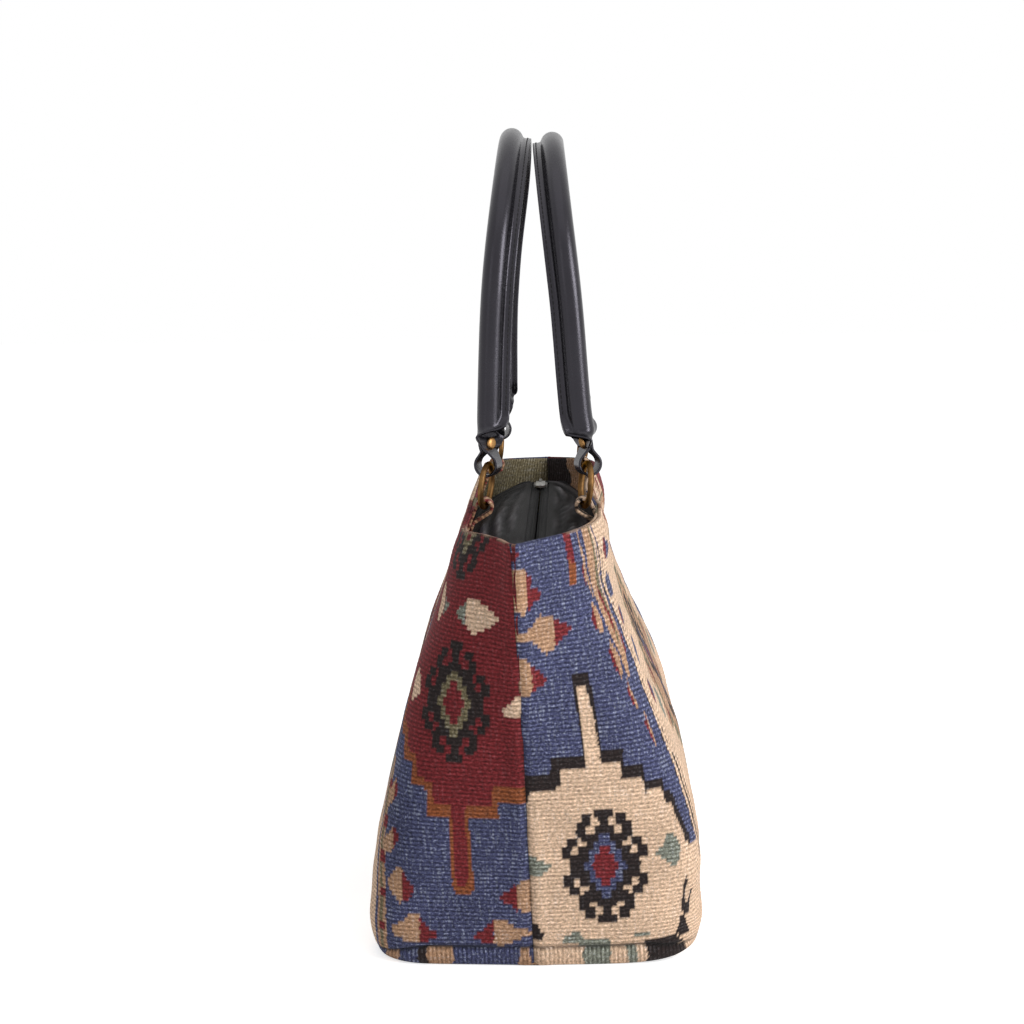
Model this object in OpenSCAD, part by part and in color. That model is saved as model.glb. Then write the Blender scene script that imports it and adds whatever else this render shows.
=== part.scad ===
// Tote handbag of patterned cloth: two panels over a lining, a recessed zip closure,
// and two rolled leather handles that hang from rings in cloth loops.
// X runs along the length, Y from front to back, Z up from the base. Millimetres.

/* [Bag shell] */
// Length of the rim from side seam to side seam
rim_length = 400; // [350:5:450]
// Length of the base from end to end
base_length = 300; // [260:5:340]
// Height of the rim at the side seams
rim_height = 273; // [240:1:310]
// Extra height of the rim at its middle
rim_rise = 6; // [0:1:20]
// Half width of the rim at its end corners
rim_half_width = 40; // [36:1:56]
// Half width of the belly just above the base
belly_half_width = 108; // [90:1:120]
// Extra half width at the middle of the length
side_bulge = 2; // [0:0.5:6]
// How far the side seam stands out past the rim's end corners
rim_nose = 45; // [30:1:56]
// How far the side seam stands out past the base's end corners
base_nose = 4; // [2:1:14]
// Length of the rounding at each upright corner
corner_round = 34; // [20:1:42]
// How far the base edge tucks in under the belly
base_tuck = 6; // [3:1:16]
// Height over which the base edge tucks in
tuck_height = 25; // [15:1:35]
// Thickness of the outer cloth with its interlining
cloth_t = 2; // [1.4:0.1:2.6]
// Thickness of the facing inside the rim
facing_t = 1.6; // [1:0.1:2.2]
// Depth of the facing below the rim
facing_depth = 43; // [34:1:54]
// Thickness of the lining
lining_t = 0.8; // [0.5:0.1:1.4]

/* [Zip closure] */
// Depth of the zip below the rim at the side seams
zip_depth = 16; // [12:1:24]
// Distance from each end of the zip to the side seam
zip_end = 30; // [25:1:60]
// Width of the slot that shows the zip
slot_w = 13; // [12:0.5:18]
// Thickness of the closure cloth
closure_t = 1.2; // [0.8:0.1:1.8]
// Flat margin of closure cloth beside the slot
closure_margin = 5; // [4:0.5:7]
// Thickness of the zip tape
tape_t = 0.6; // [0.4:0.1:0.9]
// Height of a zip tooth
tooth_h = 2.4; // [2:0.1:3]
// Distance between teeth on one tape
tooth_pitch = 3; // [2.4:0.1:4]
// Slit between the two rows of teeth
teeth_slit = 1; // [0.9:0.1:1.4]
// Length of the slider
slider_l = 12; // [9:0.5:15]
// Length of the pull tab
pull_l = 26; // [18:1:32]
// Width of the pull tab
pull_w = 7; // [6:0.5:9]

/* [Rings and loops] */
// Inner diameter of a ring
ring_inner_d = 23; // [20:0.5:28]
// Diameter of the ring wire
wire_d = 3.6; // [2.8:0.1:4.2]
// Inward lean of the rings at the front
front_ring_lean = -6; // [-14:1:6]
// Inward lean of the rings at the back
back_ring_lean = 6; // [-6:1:14]
// Turn of each ring about its own upright axis
ring_twist = 12; // [0:1:16]
// Width of a cloth loop
loop_w = 11; // [8:0.5:13]
// Thickness of the loop cloth
loop_t = 1.3; // [0.9:0.1:1.6]
// Length of the loop tail sewn to the facing
loop_tail = 20; // [16:1:24]
// Height of the loop's bore above the rim, along the wall
loop_rise = 4; // [3:0.5:7]

/* [Handles] */
// Distance between the legs of a handle
handle_span = 200; // [170:2:220]
// Height of a handle's centre line above its rings
handle_rise = 200; // [170:1:250]
// Diameter of the rolled leather
roll_d = 15; // [13:0.5:18]
// Thickness of the leather
leather_t = 1.6; // [1.2:0.1:2]
// Width of the stitched flange
flange_w = 5; // [3:0.5:7]
// Gap between the two flanges at the top
flange_gap = 1; // [0.8:0.1:6]
// Width of the tongue at each end of a handle
tongue_w = 14; // [11:0.5:15]
// Length of the tongue from the ring to the roll
tongue_l = 32; // [30:1:38]
// Diameter of a rivet cap
rivet_cap_d = 8.6; // [7:0.2:10]
// Diameter of a rivet shank
rivet_shank_d = 3.2; // [2.4:0.2:4]
// Height of a rivet cap
rivet_cap_h = 1.6; // [1:0.1:2.2]

/* [Hidden] */
$fn = 48;
// clearances
seat_gap = 0.25;
run_gap = 0.35;
cord_gap = 0.15;
sewn_gap = 0.45;
// how the walls curve from base to rim
taper_power = 1.62;
flare_power = 1.2;
nose_power = 1.5;
// how long the rim stays level before it falls to the side seams
rise_power = 4.5;
// rows of the shell, as shares of the rim's height
tuck_share = tuck_height / rim_height;
seam_share = 1 - facing_depth / rim_height;
foot_rows = [0, 0.2 * tuck_share, 0.55 * tuck_share, 1.1 * tuck_share];
wall_steps = 6;
wall_rows = [for (k = [1:wall_steps])
    foot_rows[3] + (seam_share - foot_rows[3]) * k / wall_steps];
top_rows = [(1 + seam_share) / 2, 1];
inner_offset = cloth_t + facing_t;
// ring and loop
ring_r = (ring_inner_d + wire_d) / 2;
loop_bore = wire_reach(loop_w) + run_gap;
loop_r = loop_bore + loop_t;
loop_x = handle_span / 2;
wall_top = side_width(loop_x, 1, inner_offset);
wall_below = side_width(loop_x, top_rows[0], inner_offset);
wall_tilt = atan((wall_below - wall_top) / ((1 - top_rows[0]) * rim_z(loop_x)));
loop_out = loop_r + sewn_gap;
hinge_y = wall_top - loop_out * cos(wall_tilt) - loop_rise * sin(wall_tilt);
hinge_z = rim_z(loop_x) - loop_out * sin(wall_tilt) + loop_rise * cos(wall_tilt);
// handle
roll_r = roll_d / 2;
cord_r = roll_r - leather_t - cord_gap;
arch_r = handle_span / 2;
fold_bore = wire_reach(tongue_w) + run_gap;
fold_r = fold_bore + leather_t;
fold_neck = fold_r + leather_t;
rivet_up = fold_neck + rivet_cap_d / 2 + 1;
tongue_tip = rivet_up + rivet_cap_d / 2 + 4;
roll_neck = tongue_tip - 3;
plug_t = 2;
flange_tip = -roll_r - flange_w;
// zip
zip_height = rim_height - zip_depth;
zip_half = rim_length / 2 - zip_end;
slot_half = slot_w / 2;
tape_top = zip_height - closure_t;
tooth_top = tape_top - tape_t / 2 + tooth_h / 2;
bead_w = 0.8;
tooth_reach = 1.7;
bead_out = teeth_slit / 2 + tooth_reach + bead_w;
teeth_half = zip_half - 4;
plate_t = 1.2;
plate_half = slot_half - 1.5;
plate_base = tooth_top + seat_gap;
plate_top = plate_base + plate_t;
under_top = tooth_top - tooth_h - seat_gap;
slider_x = zip_half - slider_l;
bar_r = 0.8;
bail_w = 2;
bail_t = 1;
bail_half = bar_r + run_gap + bail_t;
bar_z = plate_top + bar_r + run_gap;
window_l = 4.2;

// Height of the rim over a place along the length
function rim_z(x) = rim_height + rim_rise * (1 - pow(min(1, abs(x) / (rim_length / 2)), rise_power));

// Sizes of the plan outline at a share of the height
function tuck(t) = base_tuck * pow(1 - min(1, t / tuck_share), 2);
function half_length(t) =
    base_length / 2 + (rim_length - base_length) / 2 * pow(t, flare_power) - tuck(t);
function nose(t) = base_nose + (rim_nose - base_nose) * pow(t, nose_power);
function corner_width(t) =
    belly_half_width + (rim_half_width - belly_half_width) * pow(t, taper_power) - tuck(t);
function corner_x(t) = half_length(t) - nose(t);
function side_width(x, t, o) =
    corner_width(t) - o + side_bulge * (1 - pow(x / corner_x(t), 2));

// A point on the rounded corner between two lines that meet at c
function bend(a, c, b, q) = (1 - q) * (1 - q) * a + 2 * q * (1 - q) * c + q * q * b;

// A quarter of the plan outline, from the side seam to the middle, set in by o
function quarter(t, o) =
    let (seam = [half_length(t) - o, 0])
    let (corner = [corner_x(t) - o, corner_width(t) - o])
    let (along = (seam - corner) / norm(seam - corner))
    let (side_x = corner.x - corner_round)
    let (start = corner + corner_round * along)
    let (stop = [side_x, side_width(side_x, t, o)])
    concat([seam],
        [for (q = [0:0.25:1]) bend(start, corner, stop, q)],
        [for (f = [2, 1, 0]) [side_x * f / 3, side_width(side_x * f / 3, t, o)]]);

// One row of the front half, from the left side seam to the right one
function shell_row(t, o) =
    let (q = quarter(t, o), n = len(q))
    concat(
        [for (i = [0:n - 1]) [-q[i].x, -q[i].y, row_z(t, o, q[i].x)]],
        [for (i = [n - 2:-1:0]) [q[i].x, -q[i].y, row_z(t, o, q[i].x)]]);
function row_z(t, o, x) = t == 0 ? o : t * rim_z(x);
function shell(rows, o) = [for (t = rows) shell_row(t, o)];

// Half width inside the facing at a place along the length
function inside_width(x, t, o) = lookup(abs(x), [for (p = quarter(t, o)) [p.x, p.y]]);

// How far a ring's wire strays from a bore's axis within a given width
function wire_reach(w) =
    let (h = w / 2, side = h * tan(ring_twist), arc = h / cos(ring_twist))
    let (drop = ring_r - sqrt(ring_r * ring_r - arc * arc))
    wire_d / 2 + sqrt(side * side + drop * drop);

// The point where a line from p touches a circle, on the side given by s
function touch(c, r, p, s) =
    let (v = p - c, turn = atan2(v.y, v.x) + s * acos(r / norm(v)))
    c + r * [cos(turn), sin(turn)];

// A sheet of cloth between an outer and an inner grid of points.
// With a floor, the lowest rows are closed by a flat base that ends at the middle.
module sheet(outer, inner, floor = false) {
    rows = len(outer);
    cols = len(outer[0]);
    count = rows * cols;
    last = cols - 1;
    top = rows - 1;
    points = concat([for (r = outer) each r], [for (r = inner) each r]);
    skin = [for (j = [0:top - 1], i = [0:last - 1])
        let (a = j * cols + i, b = a + cols) each [[a, b, b + 1, a + 1],
            [count + a, count + a + 1, count + b + 1, count + b]]];
    rim = [for (i = [0:last - 1])
        let (a = top * cols + i) [a, count + a, count + a + 1, a + 1]];
    ends = [for (j = [0:top - 1])
        let (a = j * cols, b = a + cols, c = a + last, d = b + last) each [
            [a, count + a, count + b, b],
            [count + c, c, d, count + d]]];
    hem = [for (i = [0:last - 1]) [i, i + 1, count + i + 1, count + i]];
    base = [[for (i = [0:last]) i], [for (i = [last:-1:0]) count + i],
        [last, count + last, count, 0]];
    polyhedron(points, concat(skin, rim, ends, floor ? base : hem), convexity = 6);
}

// The back is the front turned over the middle plane
module on_side(back) {
    mirror([0, back ? 1 : 0, 0]) children();
}

// Right and back is the modelled place, and the others are its mirror images
module at_corner(right, back) {
    mirror([right ? 0 : 1, 0, 0]) mirror([0, back ? 0 : 1, 0]) children();
}

module panel(back) {
    rows = concat(foot_rows, wall_rows, top_rows);
    on_side(back) sheet(shell(rows, 0), shell(rows, cloth_t), floor = true);
}

module facing(back) {
    rows = concat([seam_share], top_rows);
    on_side(back) sheet(shell(rows, cloth_t), shell(rows, inner_offset));
}

module lining(back) {
    rows = concat(foot_rows, wall_rows);
    on_side(back) sheet(shell(rows, cloth_t), shell(rows, cloth_t + lining_t), floor = true);
}

// One half of the closure: it rises from the facing's lower edge to the zip
module zip_panel(back) {
    set_in = inner_offset + sewn_gap;
    end_x = half_length(seam_share) - set_in - 6;
    slot_end = zip_half + 0.5;
    steps = 9;
    inner_xs = [for (k = [-steps:steps]) zip_half * sin(90 * k / steps)];
    xs = concat([-end_x, -slot_end], inner_xs, [slot_end, end_x]);
    end_lift = zip_height - closure_t - 6 - seam_share * rim_height;
    top = [for (j = [0:4]) [for (x = xs) closure_point(x, j, set_in, slot_end, end_lift)]];
    under = [for (r = top) [for (p = r) p - [0, 0, closure_t]]];
    on_side(back) sheet(top, under);
}

function closure_point(x, j, set_in, slot_end, end_lift) =
    let (lift = 2 + end_lift * pow(abs(x) / slot_end, 4))
    let (t = min(0.97, seam_share + lift / rim_height))
    let (wall_y = inside_width(x, t, set_in))
    let (edge_y = abs(x) < slot_end ? slot_half : seat_gap)
    let (flat_y = edge_y + min(closure_margin, 0.4 * (wall_y - edge_y)))
    let (v = j / 3, wall_z = min(zip_height, t * rim_z(x)))
    j == 4 ? [x, -edge_y, zip_height]
        : [x, -(wall_y + (flat_y - wall_y) * v), wall_z + (zip_height - wall_z) * sin(90 * v)];

module zip_tape(back) {
    out = slot_half + closure_margin - 0.5;
    on_side(back)
        translate([-zip_half, -out, tape_top - tape_t])
            cube([2 * zip_half, out - bead_out, tape_t]);
}

// A bead along the tape's edge with a row of teeth that reach towards the middle
module zip_teeth(back) {
    shift = back ? tooth_pitch / 2 : 0;
    tooth_w = tooth_pitch * 0.55;
    tip = -teeth_slit / 2;
    root = tip - tooth_reach;
    count = floor((2 * teeth_half - tooth_pitch) / tooth_pitch);
    comb = [for (k = [0:count - 1])
        let (x = -teeth_half + shift + k * tooth_pitch + 0.5) each
            [[x, root], [x, tip], [x + tooth_w, tip], [x + tooth_w, root]]];
    on_side(back)
        translate([0, 0, tooth_top - tooth_h])
            linear_extrude(tooth_h)
                polygon(concat([[-teeth_half, -bead_out], [-teeth_half, root]], comb,
                    [[teeth_half, root], [teeth_half, -bead_out]]));
}

// A clip over both rows at the opening end, and one on each row past the closed slider
module zip_stops() {
    stop_l = 2.4;
    stop_h = tooth_h + 0.4;
    stop_x = teeth_half + seat_gap;
    color("silver") translate([0, 0, tooth_top - tooth_h - 0.2]) {
        translate([-stop_x - stop_l, -bead_out, 0]) cube([stop_l, 2 * bead_out, stop_h]);
        for (s = [0, 1]) mirror([0, s, 0]) translate([stop_x, bead_out - 1.6, 0])
            cube([stop_l, 1.6, stop_h]);
    }
}

// Two plates joined by a thin post that runs in the slit, with lips over and under the tape
module zip_slider() {
    lip_in = bead_out + seat_gap + 0.2;
    lip_w = plate_half - lip_in;
    post_w = teeth_slit - 2 * seat_gap;
    post_l = 3;
    sunk = plate_t / 2;
    over_lip = plate_base - (tape_top + seat_gap) + sunk;
    under_lip = tape_top - tape_t - seat_gap - under_top + sunk;
    color("silver") translate([slider_x, 0, 0]) {
        translate([-slider_l / 2, -plate_half, plate_base])
            cube([slider_l, 2 * plate_half, plate_t]);
        translate([-slider_l / 2, -plate_half, under_top - plate_t])
            cube([slider_l, 2 * plate_half, plate_t]);
        translate([slider_l / 2 - post_l, -post_w / 2, under_top - sunk])
            cube([post_l, post_w, plate_base - under_top + 2 * sunk]);
        for (s = [0, 1]) mirror([0, s, 0]) {
            translate([-slider_l / 2, lip_in, tape_top + seat_gap])
                cube([slider_l, lip_w, over_lip]);
            translate([-slider_l / 2, lip_in, under_top - sunk])
                cube([slider_l, lip_w, under_lip]);
        }
        zip_bail();
    }
}

// The arch on the slider that holds the pull's crossbar
module zip_bail() {
    bridge_z = bar_z + bar_r + run_gap;
    translate([0, bail_w / 2, 0]) rotate([90, 0, 0]) linear_extrude(bail_w) difference() {
        translate([-bail_half, plate_top - plate_t / 2])
            square([2 * bail_half, bridge_z - plate_top + bail_t + plate_t / 2]);
        translate([-bail_half + bail_t, plate_top])
            square([2 * (bail_half - bail_t), bridge_z - plate_top]);
    }
}

// A tab with a window round the bail and a round crossbar under it
module zip_pull() {
    arm_w = (pull_w - bail_w - 2 * run_gap) / 2;
    tab_t = 2 * bar_r;
    color("silver") translate([slider_x, 0, bar_z]) {
        rotate([90, 0, 0]) cylinder(r = bar_r, h = pull_w, center = true);
        translate([0, 0, -tab_t / 2]) linear_extrude(tab_t) difference() {
            union() {
                translate([-pull_l + pull_w / 2, -pull_w / 2]) square([pull_l - pull_w / 2, pull_w]);
                translate([-pull_l + pull_w / 2, 0]) circle(d = pull_w);
            }
            translate([-window_l, -pull_w / 2 + arm_w]) square([window_l + 1, pull_w - 2 * arm_w]);
            translate([-pull_l + pull_w / 2, 0]) circle(d = pull_w * 0.4);
        }
    }
}

// A strip of cloth folded over the ring, with both ends sewn inside the facing
module ring_loop(right, back) {
    bore = [-loop_out, loop_rise];
    neck_v = loop_rise - loop_r - 5;
    tail_in = [-sewn_gap - 2 * loop_t, neck_v];
    at_corner(right, back)
        translate([loop_x, wall_top, rim_z(loop_x)])
            rotate([wall_tilt, 0, 0]) rotate([90, 0, 90])
                linear_extrude(loop_w, center = true) difference() {
                    union() {
                        translate(bore) circle(r = loop_r);
                        polygon([[-sewn_gap, neck_v], [-sewn_gap, loop_rise], bore,
                            touch(bore, loop_r, tail_in, -1), tail_in]);
                        translate([-sewn_gap - 2 * loop_t, -loop_tail])
                            square([2 * loop_t, loop_tail + neck_v]);
                    }
                    translate(bore) circle(r = loop_bore);
                }
}

function ring_lean(back) = back ? back_ring_lean : front_ring_lean;

module wire_ring(right, back) {
    at_corner(right, back)
        translate([loop_x, hinge_y, hinge_z])
            rotate([ring_lean(back), 0, 0]) translate([0, 0, ring_r])
                rotate([0, 0, ring_twist]) rotate([90, 0, 0])
                    rotate_extrude() translate([ring_r, 0]) circle(d = wire_d);
}

// Place of a handle: its own frame has the tops of its two rings on the X axis
function grip_y(back) = hinge_y - 2 * ring_r * sin(ring_lean(back));
function grip_z(back) = hinge_z + 2 * ring_r * cos(ring_lean(back));
function handle_lean(back) = asin((grip_y(back) - roll_r - flange_w - flange_gap / 2) / handle_rise);

module in_handle(back) {
    mirror([0, back ? 0 : 1, 0])
        translate([0, grip_y(back), grip_z(back)]) rotate([handle_lean(back), 0, 0]) children();
}

// Section of the rolled leather: a tube with a flat flange towards the other handle
module roll_section(flange_side) {
    difference() {
        union() {
            circle(r = roll_r);
            translate([-leather_t, flange_side > 0 ? 0 : -roll_r - flange_w])
                square([2 * leather_t, roll_r + flange_w]);
        }
        circle(r = roll_r - leather_t);
    }
}

module rolled_handle(back) {
    in_handle(back) difference() {
        union() {
            translate([0, 0, handle_rise - arch_r]) rotate([90, 0, 0])
                rotate_extrude(angle = 180) translate([arch_r, 0]) roll_section(1);
            for (s = [-1, 1]) translate([s * arch_r, 0, 0]) handle_end();
        }
        for (s = [-1, 1]) translate([s * arch_r, 0, 0]) {
            rotate([0, 90, 0]) cylinder(r = fold_bore, h = tongue_w + 2, center = true);
            translate([0, 0, rivet_up]) rotate([90, 0, 0])
                cylinder(d = rivet_shank_d, h = 4 * leather_t, center = true);
        }
    }
}

// A leg of the roll, flattened to a tongue that folds round the ring and back on itself
module handle_end() {
    translate([0, 0, tongue_l + plug_t])
        linear_extrude(handle_rise - arch_r - tongue_l - plug_t) roll_section(-1);
    hull() {
        translate([0, 0, tongue_l]) cylinder(r = roll_r, h = plug_t, $fn = 32);
        translate([-tongue_w / 2, -leather_t, roll_neck]) cube([tongue_w, leather_t, 0.5]);
    }
    rotate([90, 0, 90]) linear_extrude(2 * leather_t, center = true)
        polygon([[0, roll_neck], [0, tongue_l + plug_t], [flange_tip, tongue_l + plug_t],
            [flange_tip, tongue_l - plug_t]]);
    translate([-tongue_w / 2, -leather_t, fold_neck])
        cube([tongue_w, leather_t, roll_neck - fold_neck + 0.5]);
    translate([0, leather_t, 0]) rotate([90, 0, 0]) linear_extrude(leather_t) {
        translate([-tongue_w / 2, fold_neck])
            square([tongue_w, tongue_tip - fold_neck - tongue_w / 4]);
        intersection() {
            translate([0, tongue_tip - tongue_w * 0.625]) circle(r = tongue_w * 0.625);
            translate([-tongue_w / 2, fold_neck]) square([tongue_w, tongue_tip - fold_neck]);
        }
    }
    rotate([90, 0, 90]) linear_extrude(tongue_w, center = true) {
        circle(r = fold_r);
        polygon([[0, 0], touch([0, 0], fold_r, [leather_t, fold_neck], -1), [leather_t, fold_neck],
            [-leather_t, fold_neck], touch([0, 0], fold_r, [-leather_t, fold_neck], 1)]);
    }
}

// The cord that keeps the roll round
module handle_cord(back) {
    start = tongue_l + plug_t + cord_gap;
    in_handle(back) {
        translate([0, 0, handle_rise - arch_r]) rotate([90, 0, 0])
            rotate_extrude(angle = 180) translate([arch_r, 0]) circle(r = cord_r);
        for (s = [-1, 1]) translate([s * arch_r, 0, start])
            cylinder(r = cord_r, h = handle_rise - arch_r - start);
    }
}

// A shank through both layers of a tongue with a rounded cap at each end
module rivets(back) {
    shank_d = rivet_shank_d - 2 * cord_gap;
    in_handle(back) for (s = [-1, 1])
        translate([s * arch_r, 0, rivet_up]) rotate([90, 0, 0]) {
            cylinder(d = shank_d, h = 2 * leather_t, center = true);
            for (m = [0, 1]) mirror([0, 0, m]) translate([0, 0, leather_t]) {
                cylinder(d = rivet_cap_d, h = rivet_cap_h / 2);
                translate([0, 0, rivet_cap_h / 2])
                    cylinder(d1 = rivet_cap_d, d2 = rivet_cap_d * 0.6, h = rivet_cap_h / 2);
            }
        }
}

module front_panel() { color("steelblue") panel(false); }
module back_panel() { color("firebrick") panel(true); }
module front_facing() { color("olive") facing(false); }
module back_facing() { color("brown") facing(true); }
module front_lining() { color("dimgray") lining(false); }
module back_lining() { color("dimgray") lining(true); }
module front_zip_panel() { color("black") zip_panel(false); }
module back_zip_panel() { color("black") zip_panel(true); }
module front_zip_tape() { color("darkslategray") zip_tape(false); }
module back_zip_tape() { color("darkslategray") zip_tape(true); }
module front_zip_teeth() { color("gray") zip_teeth(false); }
module back_zip_teeth() { color("gray") zip_teeth(true); }
module front_left_loop() { color("tan") ring_loop(false, false); }
module front_right_loop() { color("tan") ring_loop(true, false); }
module back_left_loop() { color("tan") ring_loop(false, true); }
module back_right_loop() { color("tan") ring_loop(true, true); }
module front_left_ring() { color("goldenrod") wire_ring(false, false); }
module front_right_ring() { color("goldenrod") wire_ring(true, false); }
module back_left_ring() { color("goldenrod") wire_ring(false, true); }
module back_right_ring() { color("goldenrod") wire_ring(true, true); }
module front_handle() { color("black") rolled_handle(false); }
module back_handle() { color("black") rolled_handle(true); }
module front_handle_cord() { color("wheat") handle_cord(false); }
module back_handle_cord() { color("wheat") handle_cord(true); }
module front_rivets() { color("goldenrod") rivets(false); }
module back_rivets() { color("goldenrod") rivets(true); }

front_panel();
back_panel();
front_facing();
back_facing();
front_lining();
back_lining();
front_zip_panel();
back_zip_panel();
front_zip_tape();
back_zip_tape();
front_zip_teeth();
back_zip_teeth();
zip_stops();
zip_slider();
zip_pull();
front_left_loop();
front_right_loop();
back_left_loop();
back_right_loop();
front_left_ring();
front_right_ring();
back_left_ring();
back_right_ring();
front_handle();
back_handle();
front_handle_cord();
back_handle_cord();
front_rivets();
back_rivets();
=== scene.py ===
"""Looks of a tote handbag in woven kilim cloth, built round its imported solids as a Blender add-on."""
import math

import bmesh
import bpy
import numpy as np
from bpy.props import FloatProperty, FloatVectorProperty, PointerProperty
from mathutils import Matrix, Vector


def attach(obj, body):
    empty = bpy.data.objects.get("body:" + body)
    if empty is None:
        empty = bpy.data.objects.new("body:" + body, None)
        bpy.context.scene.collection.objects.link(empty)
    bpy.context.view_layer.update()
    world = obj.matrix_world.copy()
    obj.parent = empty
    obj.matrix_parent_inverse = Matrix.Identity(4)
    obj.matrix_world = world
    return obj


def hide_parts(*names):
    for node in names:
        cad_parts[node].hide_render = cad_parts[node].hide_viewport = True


bl_info = {
    "name": "Kilim tote handbag",
    "version": (1, 0, 0),
    "blender": (4, 5, 0),
    "location": "View3D > Sidebar > Kilim Tote",
    "description": "Sews a cloth tote with rolled leather handles round its packed solids",
    "category": "Object",
}

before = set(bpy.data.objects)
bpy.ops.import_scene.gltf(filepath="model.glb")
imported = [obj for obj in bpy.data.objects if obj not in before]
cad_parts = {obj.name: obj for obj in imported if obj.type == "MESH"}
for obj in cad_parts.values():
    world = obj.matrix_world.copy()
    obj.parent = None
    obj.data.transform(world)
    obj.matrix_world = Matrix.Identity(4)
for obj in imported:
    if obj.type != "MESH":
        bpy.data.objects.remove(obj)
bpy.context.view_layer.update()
MM = 0.001
SIDES = {"front": -1, "back": 1}
ENDS = {"left": -1, "right": 1}


# Settings

def length(name, description, default):
    return FloatProperty(name=name, description=description, default=default, unit="LENGTH", precision=4)


def number(name, description, default):
    return FloatProperty(name=name, description=description, default=default)


def colour(name, description, default):
    return FloatVectorProperty(name=name, description=description, default=default,
                               subtype="COLOR", size=3, min=0, max=1)


class ToteSizes(bpy.types.PropertyGroup):
    """Sizes of the cloth, leather and metal"""
    rim_length: length("Rim length", "Rim from side seam to side seam", 0.4)
    base_length: length("Base length", "Base from end to end", 0.3)
    rim_height: length("Rim height", "Height of the rim at the side seams", 0.273)
    rim_rise: length("Rim rise", "Extra height at the rim's middle", 0.006)
    rim_half_width: length("Rim half width", "Half width at the rim's corners", 0.04)
    belly_half_width: length("Belly half width", "Half width above the base", 0.108)
    side_bulge: length("Side bulge", "Extra half width at mid length", 0.002)
    rim_nose: length("Rim nose", "Seam past the rim's corners", 0.045)
    base_nose: length("Base nose", "Seam past the base's corners", 0.004)
    corner_round: length("Corner rounding", "Rounding at the upright corners", 0.034)
    base_tuck: length("Base tuck", "How far the base edge tucks in", 0.006)
    tuck_height: length("Tuck height", "Height of the tucked edge", 0.025)
    cloth: length("Cloth", "Thickness of the outer cloth", 0.002)
    facing: length("Facing", "Thickness of the facing", 0.0016)
    facing_depth: length("Facing depth", "Facing below the rim", 0.043)
    lining: length("Lining", "Thickness of the lining", 0.0008)
    rib_pitch: length("Rib pitch", "Distance between the weave's ribs", 0.00266)
    seam_lean: length("Seam lean", "How far the left seam strays at the rim", 0.0112)
    far_lean: length("Far seam lean", "How far the right seam strays at the rim", 0.0054)
    lean_run: length("Lean run", "Cloth beside a side seam that strays with it", 0.07)
    sag: length("Sag", "Depth of the cloth's slow waves", 0.0012)
    front_hollow: length("Front hollow", "How far the front's wide face sinks in", 0.011)
    back_hollow: length("Back hollow", "How far the back's wide face sinks in", 0.0018)
    rim_dip: length("Rim dip", "How far the front rim sinks in at mid length", 0.006)
    dip_half_length: length("Dip half length", "Half the length of the front rim's dip", 0.092)
    corner_press: length("Corner press", "How far the front's near base corner is pressed in", 0.0076)
    roll: length("Roll", "Radius of the rolled leather", 0.0075)
    leather: length("Leather", "Thickness of the leather", 0.0016)
    flange: length("Flange", "Width of the stitched flange", 0.005)
    handle_rise: length("Handle rise", "Handle's centre line above its rings", 0.2)
    handle_half_span: length("Half span", "Half the distance between the legs", 0.1)
    stitch_pitch: length("Stitch pitch", "Distance between flange stitches", 0.0034)
    cord_radius: length("Cord radius", "Radius of the cord inside the roll", 0.0057)


class ToteColours(bpy.types.PropertyGroup):
    """Colours of the yarns, leather and metal"""
    red: colour("Red", "Deep red yarn", (0.142, 0.0155, 0.0185))
    blue: colour("Blue", "Slate blue yarn", (0.05, 0.055, 0.117))
    beige: colour("Beige", "Pale yarn", (0.6, 0.42, 0.29))
    tan: colour("Tan", "Sandy yarn", (0.37, 0.215, 0.125))
    black: colour("Brown black", "Outline yarn", (0.017, 0.011, 0.0105))
    orange: colour("Orange", "Rust border yarn", (0.205, 0.06, 0.021))
    green: colour("Grey green", "Small motifs", (0.17, 0.18, 0.145))
    olive: colour("Olive", "Olive yarn", (0.15, 0.124, 0.07))
    closure: colour("Closure", "Black cotton twill", (0.011, 0.0105, 0.011))
    lining: colour("Lining", "Thin lining cloth", (0.05, 0.05, 0.055))
    leather: colour("Leather", "Satin black leather", (0.006, 0.0055, 0.007))
    thread: colour("Thread", "Stitching on the leather", (0.02, 0.019, 0.02))
    brass: colour("Brass", "Antique brass", (0.2, 0.11, 0.042))
    brass_dark: colour("Dark brass", "Tarnish on the brass", (0.11, 0.058, 0.023))
    nickel: colour("Nickel", "Zip metal", (0.6, 0.59, 0.57))
    teeth: colour("Teeth", "Moulded zip teeth", (0.016, 0.016, 0.016))
    cord: colour("Cord", "Filler cord in the handles", (0.1, 0.085, 0.07))


class ToteStage(bpy.types.PropertyGroup):
    """Floor, lamps and camera"""
    floor: colour("Floor", "Pale studio floor", (0.93, 0.93, 0.93))
    key: FloatProperty(name="Key", description="Power of the overhead lamp", default=4, unit="POWER")
    left: FloatProperty(name="Left", description="Power of the left lamp", default=1.4, unit="POWER")
    right: FloatProperty(name="Right", description="Power of the right lamp", default=35, unit="POWER")
    sky: number("Sky", "Strength of the surrounding light", 0.47)
    glow: number("Glow", "How much the floor is paled towards white in view", 0.6)
    lens: number("Lens", "Focal length in millimetres", 65.655)


def colours():
    return bpy.context.scene.tote_colours


def tone_of(name):
    """A colour as an array."""
    return np.array(getattr(colours(), name)[:])


def mm(name):
    """A size in millimetres."""
    return getattr(bpy.context.scene.tote_sizes, name) / MM


# Shaders

def feed(tree, socket, value):
    if isinstance(value, bpy.types.NodeSocket):
        tree.links.new(value, socket)
    else:
        socket.default_value = value


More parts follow.
